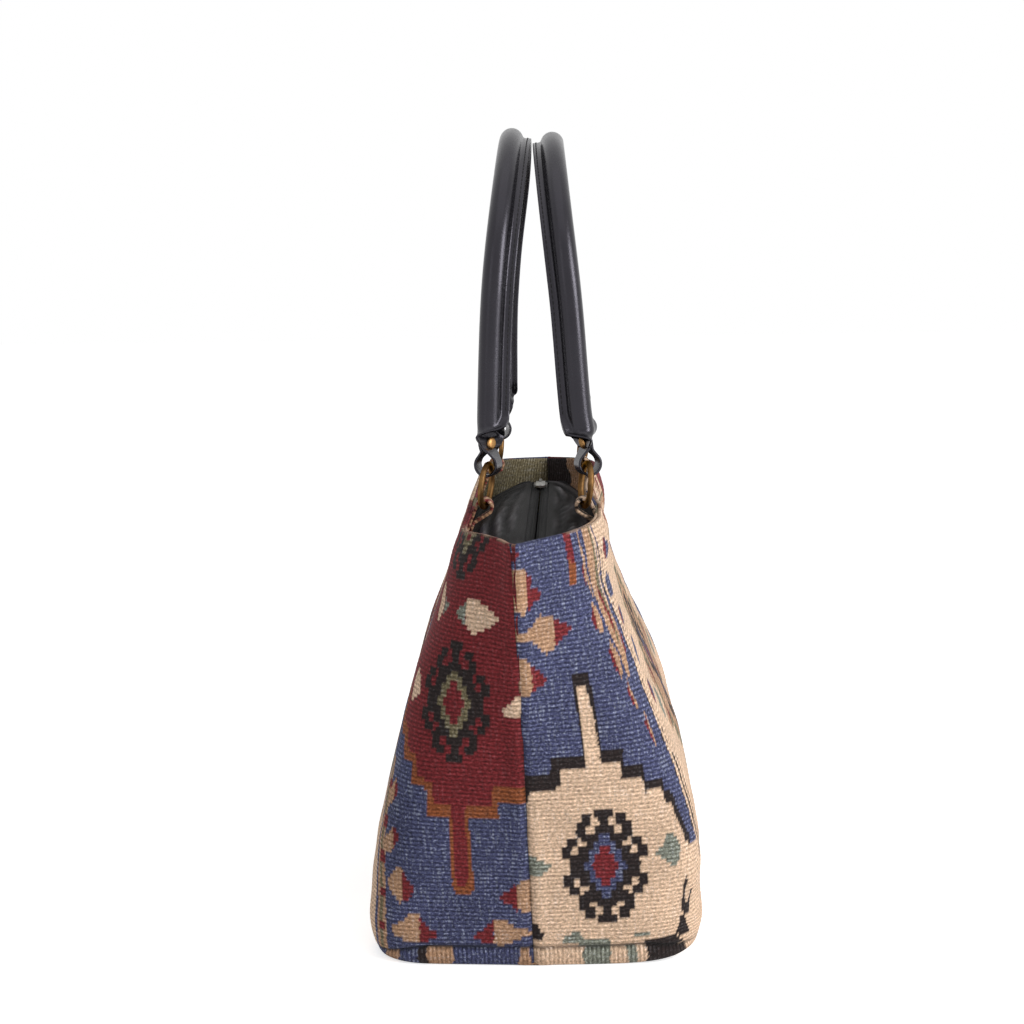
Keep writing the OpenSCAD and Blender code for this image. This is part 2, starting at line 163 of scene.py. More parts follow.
def add(tree, kind, settings=None, **sockets):
    node = tree.nodes.new(kind)
    for key, value in (settings or {}).items():
        setattr(node, key, value)
    for key, value in sockets.items():
        feed(tree, node.inputs[key.replace("_", " ")], value)
    return node


def calc(tree, operation, a, b=0.0):
    node = tree.nodes.new("ShaderNodeMath")
    node.operation = operation
    feed(tree, node.inputs[0], a)
    feed(tree, node.inputs[1], b)
    return node.outputs[0]


def product(tree, *values):
    result = values[0]
    for value in values[1:]:
        result = calc(tree, "MULTIPLY", result, value)
    return result


def tint(tree, mode, factor, a, b):
    node = tree.nodes.new("ShaderNodeMix")
    node.data_type = "RGBA"
    node.blend_type = mode
    feed(tree, node.inputs[0], factor)
    feed(tree, node.inputs[6], a)
    feed(tree, node.inputs[7], b)
    return node.outputs[2]


def ramp(tree, value, low, high, at=(0.0, 1.0)):
    """Maps a value between two greys or numbers."""
    node = tree.nodes.new("ShaderNodeMapRange")
    for index, number_in in enumerate((value, at[0], at[1], low, high)):
        feed(tree, node.inputs[index], number_in)
    return node.outputs[0]


def noise(tree, vector, scale, detail=2.0, rough=0.5):
    """Noise of one scale, or of a scale for each axis."""
    if isinstance(scale, tuple):
        vector, scale = add(tree, "ShaderNodeMapping", Vector=vector, Scale=scale).outputs[0], 1.0
    made = add(tree, "ShaderNodeTexNoise", Vector=vector, Scale=scale, Detail=detail, Roughness=rough)
    return made.outputs["Fac"]


def diagonals(tree, vector, scale, distortion):
    """Slanting lines of twill or braid."""
    made = add(tree, "ShaderNodeTexWave", {"bands_direction": "DIAGONAL"}, Vector=vector, Scale=scale,
               Distortion=distortion, Detail=2.0)
    return made.outputs["Fac"]


def yarn_of(tree):
    return add(tree, "ShaderNodeVertexColor", {"layer_name": "yarn"}).outputs[0]


def shade(tree, shader, tone, light):
    """Feeds the base colour with a tone that a grey value makes lighter or darker."""
    grey = add(tree, "ShaderNodeCombineColor", Red=light, Green=light, Blue=light).outputs[0]
    feed(tree, shader.inputs["Base Color"], tint(tree, "MULTIPLY", 1.0, tone, grey))


def bump(tree, height, distance, strength=1.0):
    return add(tree, "ShaderNodeBump", Height=height, Distance=distance, Strength=strength).outputs[0]


def finish(name, **sockets):
    """A material with its shader's own sockets set."""
    made = bpy.data.materials.new(name)
    made.use_nodes = True
    shader = made.node_tree.nodes["Principled BSDF"]
    for key, value in sockets.items():
        shader.inputs[key.replace("_", " ")].default_value = value
    return made, made.node_tree, shader


def rgba(triple):
    return (*triple, 1.0)


def object_of(tree):
    return add(tree, "ShaderNodeTexCoord").outputs["Object"]


def kilim_finish():
    """Ribbed wool weave: the pattern's colour with flecked yarn, painted shade in the furrows and raised
    ribs.
    """
    made, tree, shader = finish("kilim_weave", Roughness=0.9, Sheen_Weight=0.04, Sheen_Roughness=0.5,
                                Specular_IOR_Level=0.2)
    yarn = yarn_of(tree)
    red, _, blue = add(tree, "ShaderNodeSeparateColor", Color=yarn).outputs
    uv = add(tree, "ShaderNodeUVMap", {"uv_map": "cloth"}).outputs[0]
    high = add(tree, "ShaderNodeSeparateXYZ", Vector=uv).outputs[1]
    wobble = product(tree, noise(tree, uv, (60, 30, 1)), 2.4)
    phase = calc(tree, "ADD", product(tree, high, 2 * math.pi / (mm("rib_pitch") * MM)), wobble)
    rib = ramp(tree, calc(tree, "SINE", phase), 0.0, 1.0, (-1.0, 1.0))
    strand = noise(tree, uv, (520, 900, 1), 2.0, 0.6)
    fleck = noise(tree, uv, (480, 620, 1), 3.0, 0.7)
    cloud = noise(tree, uv, (28, 40, 1), 3.0)
    warp = noise(tree, uv, (560, 75, 1), 2.0, 0.6)
    # flecks and strands show most on dark yarn, the painted shade in the furrows between ribs on pale yarn
    grain = product(tree, ramp(tree, fleck, 0.5, 1.75, (0.3, 0.72)),
                    ramp(tree, strand, 0.72, 1.34, (0.25, 0.75)))
    grain = product(tree, calc(tree, "SUBTRACT", grain, 1.0), ramp(tree, red, 1.4, 0.9, (0.05, 0.4)))
    grain = calc(tree, "MAXIMUM", calc(tree, "ADD", grain, 1.0), 0.15)
    furrow_shade = product(tree, ramp(tree, rib, -0.42, 0.16), ramp(tree, red, 1.0, 0.62, (0.05, 0.4)))
    light = product(tree, grain, calc(tree, "ADD", furrow_shade, 1.0), ramp(tree, cloud, 0.88, 1.12, (0.3, 0.7)))
    worn = product(tree, ramp(tree, warp, 0.0, 0.6, (0.52, 0.74)), rib)
    worn = calc(tree, "MAXIMUM", ramp(tree, fleck, 0.0, 0.6, (0.56, 0.78)), worn)
    worn = product(tree, worn, ramp(tree, blue, 0.16, 1.0, (0.02, 0.1)))
    shade(tree, shader, tint(tree, "SCREEN", worn, yarn, (0.3, 0.33, 0.36, 1)), light)
    height = calc(tree, "ADD", product(tree, rib, 0.55), product(tree, strand, 0.6))
    feed(tree, shader.inputs["Normal"], bump(tree, height, 0.0005, 0.8))
    feed(tree, shader.inputs["Roughness"], ramp(tree, strand, 0.82, 0.98))
    return made


def twill_finish(name, base, scale, lift=1.0, crease_light_and_shade=False):
    """Plain or twill cotton: fine diagonal bump with lint and slow fading, or the sheet's own colours with
    painted light and shade on its creases.
    """
    made, tree, shader = finish(name, Sheen_Weight=0.06, Sheen_Roughness=0.45, Specular_IOR_Level=0.2)
    place = object_of(tree)
    lines = diagonals(tree, place, scale, 0.6)
    lint = noise(tree, place, (400, 900, 900), 3.0, 0.7)
    fade = noise(tree, place, 28.0, 3.0)
    light = product(tree, ramp(tree, lint, 0.7, 1.6, (0.3, 0.75)), ramp(tree, fade, 0.75, 1.3, (0.3, 0.7)))
    shade(tree, shader, yarn_of(tree) if crease_light_and_shade else rgba(base), light)
    feed(tree, shader.inputs["Roughness"], ramp(tree, lint, 0.7, 0.95))
    feed(tree, shader.inputs["Normal"], bump(tree, calc(tree, "ADD", lines, lint), 0.0002 * lift, 0.6))
    return made


def leather_finish():
    """Satin black leather: fine pebbled grain, slow unevenness and rubbed dull patches."""
    made, tree, shader = finish("satin_leather", Specular_IOR_Level=0.46, Specular_Tint=(0.9, 0.86, 1, 1))
    place = object_of(tree)
    cell = add(tree, "ShaderNodeTexVoronoi", {"feature": "DISTANCE_TO_EDGE"}, Vector=place, Scale=1100.0)
    grain = ramp(tree, cell.outputs["Distance"], 0.0, 1.0, (0.0, 0.25))
    slow = noise(tree, place, 45.0, 3.0)
    fine = noise(tree, place, 700.0, 2.0)
    shade(tree, shader, rgba(colours().leather), ramp(tree, slow, 0.75, 1.35, (0.3, 0.7)))
    feed(tree, shader.inputs["Roughness"], calc(tree, "ADD", ramp(tree, slow, 0.2, 0.3, (0.3, 0.7)),
                                                ramp(tree, fine, -0.03, 0.05)))
    height = calc(tree, "ADD", product(tree, grain, 0.35), product(tree, slow, 3.0))
    feed(tree, shader.inputs["Normal"], bump(tree, height, 0.00016, 0.35))
    return made


def metal_finish(name, bright, dark, roughness, edge):
    """Cast or plated metal: tarnish in patches, fine scratches and bright rubbed places."""
    made, tree, shader = finish(name, Metallic=1.0, Specular_Tint=rgba(edge))
    place = object_of(tree)
    patch = noise(tree, place, 160.0, 4.0, 0.65)
    scratch = noise(tree, place, (2200, 300, 900), 2.0)
    feed(tree, shader.inputs["Base Color"],
         tint(tree, "MIX", ramp(tree, patch, 0.0, 1.0, (0.38, 0.62)), rgba(dark), rgba(bright)))
    feed(tree, shader.inputs["Roughness"], calc(tree, "ADD", ramp(tree, patch, roughness + 0.12, roughness),
                                                ramp(tree, scratch, 0.0, 0.12)))
    feed(tree, shader.inputs["Normal"], bump(tree, calc(tree, "ADD", patch, scratch), 0.00008, 0.4))
    return made


def plastic_finish(name, base):
    """Moulded plastic with a faint pitted skin."""
    made, tree, shader = finish(name, Specular_IOR_Level=0.15)
    pits = noise(tree, object_of(tree), 900.0, 3.0)
    shade(tree, shader, rgba(base), ramp(tree, pits, 0.8, 1.25))
    feed(tree, shader.inputs["Roughness"], ramp(tree, pits, 0.75, 0.95))
    feed(tree, shader.inputs["Normal"], bump(tree, pits, 0.0001, 0.4))
    return made


def cord_finish():
    """Braided cotton cord."""
    made, tree, shader = finish("cotton_cord", Roughness=0.95, Sheen_Weight=0.2)
    braid = diagonals(tree, object_of(tree), 160.0, 2.0)
    shade(tree, shader, rgba(colours().cord), ramp(tree, braid, 0.55, 1.1))
    feed(tree, shader.inputs["Normal"], bump(tree, braid, 0.0006))
    return made


def kept(name, make):
    """A material by name, made once."""
    return bpy.data.materials.get(name) or make()


def dress(node, material):
    """Gives a solid that stays in view its material."""
    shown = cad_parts[node]
    shown.data.materials.clear()
    shown.data.materials.append(material)
    shown.data.polygons.foreach_set("material_index", [0] * len(shown.data.polygons))


# Meshes

def turn_out(mesh):
    """Turns the faces of closed forms outward."""
    forms = bmesh.new()
    forms.from_mesh(mesh)
    bmesh.ops.recalc_face_normals(forms, faces=forms.faces)
    forms.to_mesh(mesh)
    forms.free()


def piece(name, points, faces, material, body, uv=None, yarn=None):
    """A smooth mesh in metres from points in millimetres, riding on a body."""
    mesh = bpy.data.meshes.new(name)
    mesh.from_pydata((np.asarray(points, float) * MM).tolist(), [], faces)
    if yarn is not None:
        layer = mesh.attributes.new("yarn", "FLOAT_COLOR", "POINT")
        layer.data.foreach_set("color", np.hstack([yarn, np.ones((len(yarn), 1))]).astype(np.float32).ravel())
    if uv is not None:
        layer = mesh.uv_layers.new(name="cloth")
        corners = np.zeros(len(mesh.loops), np.int32)
        mesh.loops.foreach_get("vertex_index", corners)
        layer.data.foreach_set("uv", (np.asarray(uv, float)[corners] * MM).astype(np.float32).ravel())
    mesh.validate()
    mesh.shade_smooth()
    mesh.materials.append(material)
    made = bpy.data.objects.new(name, mesh)
    bpy.context.scene.collection.objects.link(made)
    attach(made, body)
    return made


def grid_normals(grid):
    """Unit normals of a grid of points."""
    across = np.gradient(grid, axis=1)
    along = np.gradient(grid, axis=0)
    normal = np.cross(across, along)
    size = np.linalg.norm(normal, axis=2, keepdims=True)
    return normal / np.maximum(size, 1e-9)


def picks(count, step):
    """Every step-th index, with the last one."""
    found = list(range(0, count - 1, step))
    return np.array(found + [count - 1])


def shell_faces(rows, cols, step, flip):
    """Faces of a sheet with a fine outer grid, a coarser inner grid and closed edges."""
    faces = []
    keep_r, keep_c = picks(rows, step), picks(cols, step)
    first = rows * cols
    small = len(keep_c)
    for j in range(rows - 1):
        a = j * cols
        faces += [(a + i, a + i + 1, a + cols + i + 1, a + cols + i) for i in range(cols - 1)]
    for j in range(len(keep_r) - 1):
        a = first + j * small
        faces += [(a + i, a + small + i, a + small + i + 1, a + i + 1) for i in range(small - 1)]
    inner = lambda j, i: first + j * small + i
    borders = [
        ([i for i in range(cols)], [(c, inner(0, k)) for k, c in enumerate(keep_c)], True),
        ([(rows - 1) * cols + i for i in range(cols)],
         [(c, inner(len(keep_r) - 1, k)) for k, c in enumerate(keep_c)], False),
        ([j * cols for j in range(rows)], [(r, inner(k, 0)) for k, r in enumerate(keep_r)], False),
        ([j * cols + cols - 1 for j in range(rows)],
         [(r, inner(k, small - 1)) for k, r in enumerate(keep_r)], True),
    ]
    for outer, held, turned in borders:
        for (start, near), (stop, far) in zip(held, held[1:]):
            middle = (start + stop) // 2
            fan = [(outer[i + 1], outer[i], near if i < middle else far) for i in range(start, stop)]
            fan.append((near, far, outer[middle]))
            faces += [face[::-1] for face in fan] if not turned else fan
    return [face[::-1] for face in faces] if flip else faces


def sewn_sheet(name, grid, thickness, step, flip, material, body, uv=None, yarn=None):
    """A sheet with thickness: the grid is its outer face, and the inner one is set in along the normals."""
    rows, cols = grid.shape[:2]
    normal = grid_normals(grid) * (-1 if flip else 1)
    keep = np.ix_(picks(rows, step), picks(cols, step))
    inner = grid[keep] - normal[keep] * thickness
    inner[..., 2] = np.maximum(inner[..., 2], 0.2)
    points = np.vstack([grid.reshape(-1, 3), inner.reshape(-1, 3)])
    spread = lambda field: np.vstack([field.reshape(rows * cols, -1),
                                      field[keep].reshape(inner.shape[0] * inner.shape[1], -1)])
    return piece(name, points, shell_faces(rows, cols, step, flip), material, body,
                 None if uv is None else spread(uv), None if yarn is None else spread(yarn))


def waves(a, b, seed, low, high, count=7):
    """Smooth repeatable noise between about -1 and 1, with wavelengths from low to high."""
    draw = np.random.default_rng(seed)
    total = np.zeros(np.broadcast(a, b).shape)
    for _ in range(count):
        angle, size, start = draw.uniform(0, math.pi), draw.uniform(low, high), draw.uniform(0, 2 * math.pi)
        total = total + np.sin(2 * math.pi * (a * math.cos(angle) + b * math.sin(angle)) / size + start)
    return total / math.sqrt(count) / 1.4


def ease(value, start, stop):
    """0 before start, 1 after stop, and smooth between."""
    share = np.clip((value - start) / (stop - start), 0, 1)
    return share * share * (3 - 2 * share)


def bell(value, centre, width):
    """1 at the centre, falling smoothly to 0 on both sides."""
    return np.exp(-((value - centre) / width) ** 2)


def bend(start, corner, stop, count):
    """A rounded corner between two points, without its first point."""
    q = np.linspace(0, 1, count)[1:, None]
    return (1 - q) ** 2 * start + 2 * q * (1 - q) * np.asarray(corner) + q * q * np.asarray(stop)


def run_along(line):
    """Distance of every point from the first, along a line or along each column of a grid."""
    steps = np.linalg.norm(np.diff(line, axis=0), axis=-1)
    return np.concatenate([np.zeros((1, *steps.shape[1:])), np.cumsum(steps, axis=0)])


def tube_faces(first, rings, sides):
    """Faces of a closed tube whose rings of points follow each other from the first point on."""
    faces = []
    last = first + sides * (rings - 1)
    for a in range(first, last, sides):
        b = a + sides
        faces += [(a + i, a + (i + 1) % sides, b + (i + 1) % sides, b + i) for i in range(sides)]
    return faces + [tuple(range(first + sides - 1, first - 1, -1)), tuple(range(last, last + sides))]


# Bag shell

def rim_z(x):
    out = np.minimum(1, np.abs(x) / (mm("rim_length") / 2))
    return mm("rim_height") + mm("rim_rise") * (1 - out ** 4.5)


def facing_foot():
    """Share of the height at which the facings end."""
    return 1 - mm("facing_depth") / mm("rim_height")


def plan(share, inset, sign):
    """Half of the plan outline at a share of the height, from the left seam over the side to the right seam.

    The sign is -1 for the front, 1 for the back and 0 for the outline before the cloth sags and strays.
    """
    tuck = mm("base_tuck") * (1 - min(1, share * mm("rim_height") / mm("tuck_height"))) ** 2
    half = mm("base_length") / 2 + (mm("rim_length") - mm("base_length")) / 2 * share ** 1.2 - tuck
    nose = mm("base_nose") + (mm("rim_nose") - mm("base_nose")) * share ** 1.5
    width = mm("belly_half_width") + (mm("rim_half_width") - mm("belly_half_width")) * share ** 1.62 - tuck
    hollow = (mm("front_hollow") * ease(share, 0.34, 0.78) if sign < 0
              else sign * mm("back_hollow") * ease(share, 0.5, 0.78))
    width -= float(hollow * (1 - ease(share, 0.84, 0.965)))
    dip = mm("rim_dip") * float(ease(share, 0.8, 1)) if sign < 0 else 0
    corner_x = half - nose
    side = lambda x: (width - inset + mm("side_bulge") * (1 - (x / corner_x) ** 2)
                      - dip * np.maximum(0, 1 - (x / mm("dip_half_length")) ** 2) ** 2)
    seam, corner = np.array([half - inset, 0]), np.array([corner_x - inset, width - inset])
    start = corner + mm("corner_round") * (seam - corner) / np.linalg.norm(seam - corner)
    stop_x = corner[0] - mm("corner_round")
    flat = np.linspace(stop_x, 0, 40)[1:]
    quarter = np.vstack([seam + (start - seam) * np.linspace(0, 1, 12)[:, None],
                         bend(start, corner, [stop_x, side(stop_x)], 24),
                         np.stack([flat, side(flat)], 1)])
    line = np.vstack([quarter * [-1, 1], quarter[::-1][1:]])
    run = run_along(line)
    near_lean = mm("seam_lean") * (0.26 + 0.74 * share)
    far_lean = mm("far_lean") * min(1, max(0, (share - 0.15) / 0.65))
    line[:, 1] += sign * near_lean * np.maximum(0, 1 - run / mm("lean_run")) ** 2
    line[:, 1] -= sign * far_lean * np.maximum(0, 1 - (run[-1] - run) / mm("lean_run")) ** 2
    return line, run_along(line)


def column_places(count):
    """Places along a panel's run, closer together on the two ends than on the wide face."""
    run = np.linspace(0, 1, 2001)
    crowd = np.cumsum(1 + 1.4 * (1 - ease(np.minimum(run, 1 - run) * 450, 95, 135)))
    return np.interp(np.linspace(0, 1, count), (crowd - crowd[0]) / (crowd[-1] - crowd[0]), run)


def corner_swell(share, run):
    """The back's near upper corner, which stands out and lets its rim drop."""
    soft = float(ease(share, 0.62, 1))
    out = soft * bell(run, 58, 30)
    return np.stack([-3.5 * out, 4.5 * out, -4.5 * soft ** 2 * bell(run, 68, 26)], 1)


def loft(side, shares, parts, inset):
    """Grid of wall points for one side, with each point's run from the left seam, its row's whole run,
    its height up the cloth and its distance from the nearer side seam."""
    sign = SIDES[side]
    points = np.zeros((len(shares), len(parts), 3))
    run, whole = np.zeros((len(shares), len(parts))), np.zeros((len(shares), 1))
    for j, share in enumerate(shares):
        line, along = plan(share, inset, sign)
        run[j], whole[j] = parts * along[-1], along[-1]
        x, y = (np.interp(run[j], along, line[:, k]) for k in (0, 1))
        points[j] = np.stack([x, sign * y, share * rim_z(x)], 1)
        if sign > 0:
            points[j] += corner_swell(share, run[j])
    high = shares[:, None] * mm("rim_height") + 0 * run
    return points, run, whole, high, np.minimum(run, whole - run)


def half_base(edge, shares, fall):
    """Rows of the half base, from the middle line out to the wall's lowest row."""
    base = np.zeros((len(shares), len(edge), 3))
    base[..., 0] = edge[:, 0]
    base[..., 1] = edge[:, 1] * shares[:, None]
    base[..., 2] = edge[:, 2] * shares[:, None] ** fall
    return base


# Kilim pattern: every motif is a list of outlines in millimetres of cloth

def inside(p, v, outline):
    """Which cloth places lie in an outline."""
    outline = np.asarray(outline, float)
    hit = np.zeros(p.shape, bool)
    (left, low), (right, high) = outline.min(axis=0), outline.max(axis=0)
    near = (p > left) & (p < right) & (v > low) & (v < high)
    if not near.any():
        return hit
    x, y = p[near], v[near]
    odd = np.zeros(x.shape, bool)
    for (x0, y0), (x1, y1) in zip(outline, np.roll(outline, -1, axis=0)):
        if y0 != y1:
            odd ^= ((y0 > y) != (y1 > y)) & (x < (x1 - x0) * (y - y0) / (y1 - y0) + x0)
    hit[near] = odd
    return hit


def box(x0, y0, x1, y1):
    return [(x0, y0), (x1, y0), (x1, y1), (x0, y1)]


def stepped(steps):
    """A stepped diamond from (half width, half height) pairs, widest first, as boxes."""
    return [box(-w, -h, w, h) for w, h in steps]


HOOK_QUARTER = [box(-3, 24, 3, 37), box(-6, 35, 6, 41),
                box(4, 16, 14, 24), box(11, 21, 17, 31), box(7.5, 29, 14, 36),
                box(12, 1, 22, 8), box(20, 5, 26.5, 15), box(16.5, 14, 23, 21)]
HOOK_BODY = stepped([(20, 6), (16, 14), (11, 22), (6, 28)])
HOOK_RIM = stepped([(13, 4), (10, 11), (6.5, 17), (3, 22)])
HOOK_HEART = stepped([(8, 4), (6, 9), (3, 15)])


def hooked(centre, scale, dark, rim, heart):
    """A hooked diamond: stepped rings with curled hooks on every side."""
    turned = [[(sx * x, sy * y) for x, y in shape]
              for shape in HOOK_QUARTER for sx in (1, -1) for sy in (1, -1)]
    place = lambda shape: [(centre[0] + x * scale[0], centre[1] + y * scale[1]) for x, y in shape]
    return ([(dark, place(s)) for s in turned + HOOK_BODY] + [(rim, place(s)) for s in HOOK_RIM]
            + [(heart, place(s)) for s in HOOK_HEART])


def arrow(tip, way, wide, tall, point):
    """A sandy diamond with a red point: tip place, way it points (1 or -1) and sizes."""
    both = lambda half: half + [(x, -y) for x, y in half[::-1]]
    place = lambda half: [(tip[0] - way * point + way * x, tip[1] + y) for x, y in both(half)]
    return [("tan", place([(0, 0.45 * tall), (-0.35 * wide, tall / 2), (-wide, 1.5)])),
            ("red", place([(0, 0.45 * tall), (0.4 * point, 0.22 * tall), (point, 1.5)]))]


def stepped_field(half, low, high, steps, border, edge, fill):
    """A stepped hexagon about the middle of the cloth, with a border of its own colour."""
    shapes = []
    for inset, yarn in ((0, edge), (border, fill)):
        for k in range(steps + 1):
            w = half * (1 - 0.8 * k / steps) - inset
            rise = (high - low) / 2 * (0.3 + 0.7 * k / steps) - inset
            shapes.append((yarn, box(-w, (high + low) / 2 - rise, w, (high + low) / 2 + rise)))
    return shapes


# Slanting edge of the wide face's field, as (height, run) pairs from a side seam
SLANT = [(-5, 150), (50, 127), (60, 123), (72, 118), (85, 113), (95, 109), (105, 106), (115, 102.5),
         (130, 99), (140, 97),
         (150, 95), (165, 92.5), (185, 90), (192, 88), (203, 85), (215, 80.5), (225, 77), (240, 72),
         (250, 70.5), (262, 69),
         (290, 66)]


def band(left, right, high, low):
    """An outline that follows the slanting edge, between two distances from it."""
    heights = np.linspace(high, low, 14)
    places = np.interp(heights, *np.transpose(SLANT))
    return [*zip(places + left, heights), *zip(places[::-1] + right, heights[::-1])]


RED_END = [
    ("blue", [(-20, 290), (-20, -60), (104, -60), (104, 120), (120, 170), (150, 290)]),
    ("orange", [(-9, 119.5), (-9, 109), (17, 109), (17, 98), (35.5, 98), (35, 67), (34, 52.5), (37, 47.5),
                (45, 47.5),
                (48, 52.5), (48, 98), (61, 98.5), (61, 115.5), (72, 117), (72, 129), (82, 132), (83, 142),
                (91, 146),
                (91, 161), (100, 165), (100, 181), (111, 185), (111, 201), (123, 205), (123, 221), (135, 225),
                (135, 247), (147, 251), (147, 290), (-9, 290)]),
    ("red", [(-9, 290), (-9, 118.5), (20, 118.5), (21.5, 107), (37.5, 105), (37.5, 58.5), (40, 54.5),
             (45, 54.5),
             (46, 59), (46, 105), (57, 106.5), (57.5, 120), (67.5, 122), (68.5, 134), (78, 138), (79.5, 149),
             (87, 153), (87, 168), (96, 172), (96, 188), (107, 192), (107, 208), (119, 212), (119, 228),
             (131, 232),
             (131, 254), (143, 258), (143, 290)]),
    *hooked((43, 170), (0.87, 0.9), "black", "olive", "red"),
    *hooked((47, 282), (0.84, 0.92), "black", "olive", "red"),
    ("beige", [(13, 224.5), (19, 229), (27, 232.5), (33, 235), (38, 233), (39, 227), (37, 219), (33, 213.5),
               (27, 214.5), (20, 219)]),
    ("green", [(38, 231), (42, 229), (46.5, 225.5), (43, 220.5), (38, 218)]),
    ("beige", [(63, 226), (66, 236), (70, 240), (73, 232), (72, 219), (67, 214)]),
    ("green", [(55, 227), (63, 231), (63, 220)]),
    ("beige", [(-5, 179), (3, 177), (8, 172), (12.5, 168), (9, 165), (2, 164), (-5, 163)]),
    ("beige", [(70, 172), (74, 181), (80, 184), (84, 176), (82, 164), (76, 167)]),
    ("tan", [(-4, 59.5), (5.5, 58.5), (8.5, 54), (8.5, 42), (3.5, 36), (-4, 37)]),
    ("red", [(8.5, 57), (12.5, 52), (19.5, 47.5), (19.5, 45), (12.5, 42), (8.5, 38.5)]),
    ("tan", [(-4.5, 25), (8.5, 25.5), (14.5, 30.5), (19.5, 32.5), (23.5, 31), (24, 15), (19, 14), (12.5, 17),
             (6.5, 20.5), (-4.5, 20.5)]),
    ("red", [(24, 31), (29, 26.5), (36, 21), (36, 18.5), (31, 17), (27, 15), (24, 15)]),
    ("tan", [(79, 64), (84, 63), (89, 57), (92, 53), (87, 46), (82, 41), (79, 42)]),
    ("red", [(80, 64), (76, 57), (72, 52), (72, 49), (76, 44), (80, 42)]),
    ("tan", [(69, 33), (75, 35), (80, 30), (88, 25), (87, 20), (80, 17), (73, 15.5), (69, 16)]),
    ("red", [(70, 32), (65, 26), (59, 22), (59, 19), (65, 17), (70, 16)]),
    ("tan", [(85, 89), (89, 85), (94, 80), (94, 70), (89, 72), (85, 74)]),
    ("red", [(86, 89), (81, 84), (81, 81), (86, 75)]),
    ("tan", [(88, 119), (91.5, 112), (95, 107), (95, 97), (91, 101), (88, 103)]),
    ("red", [(88, 117), (84, 111), (84, 108), (88, 104)]),
    ("tan", [(92, 0), (101, 0), (102, 127), (95, 127)]), ("olive", [(95, 0), (98, 0), (100, 123), (97, 123)]),
    *[("red", box(93, 20 + 22 * k, 99, 27 + 22 * k)) for k in range(5)],
]

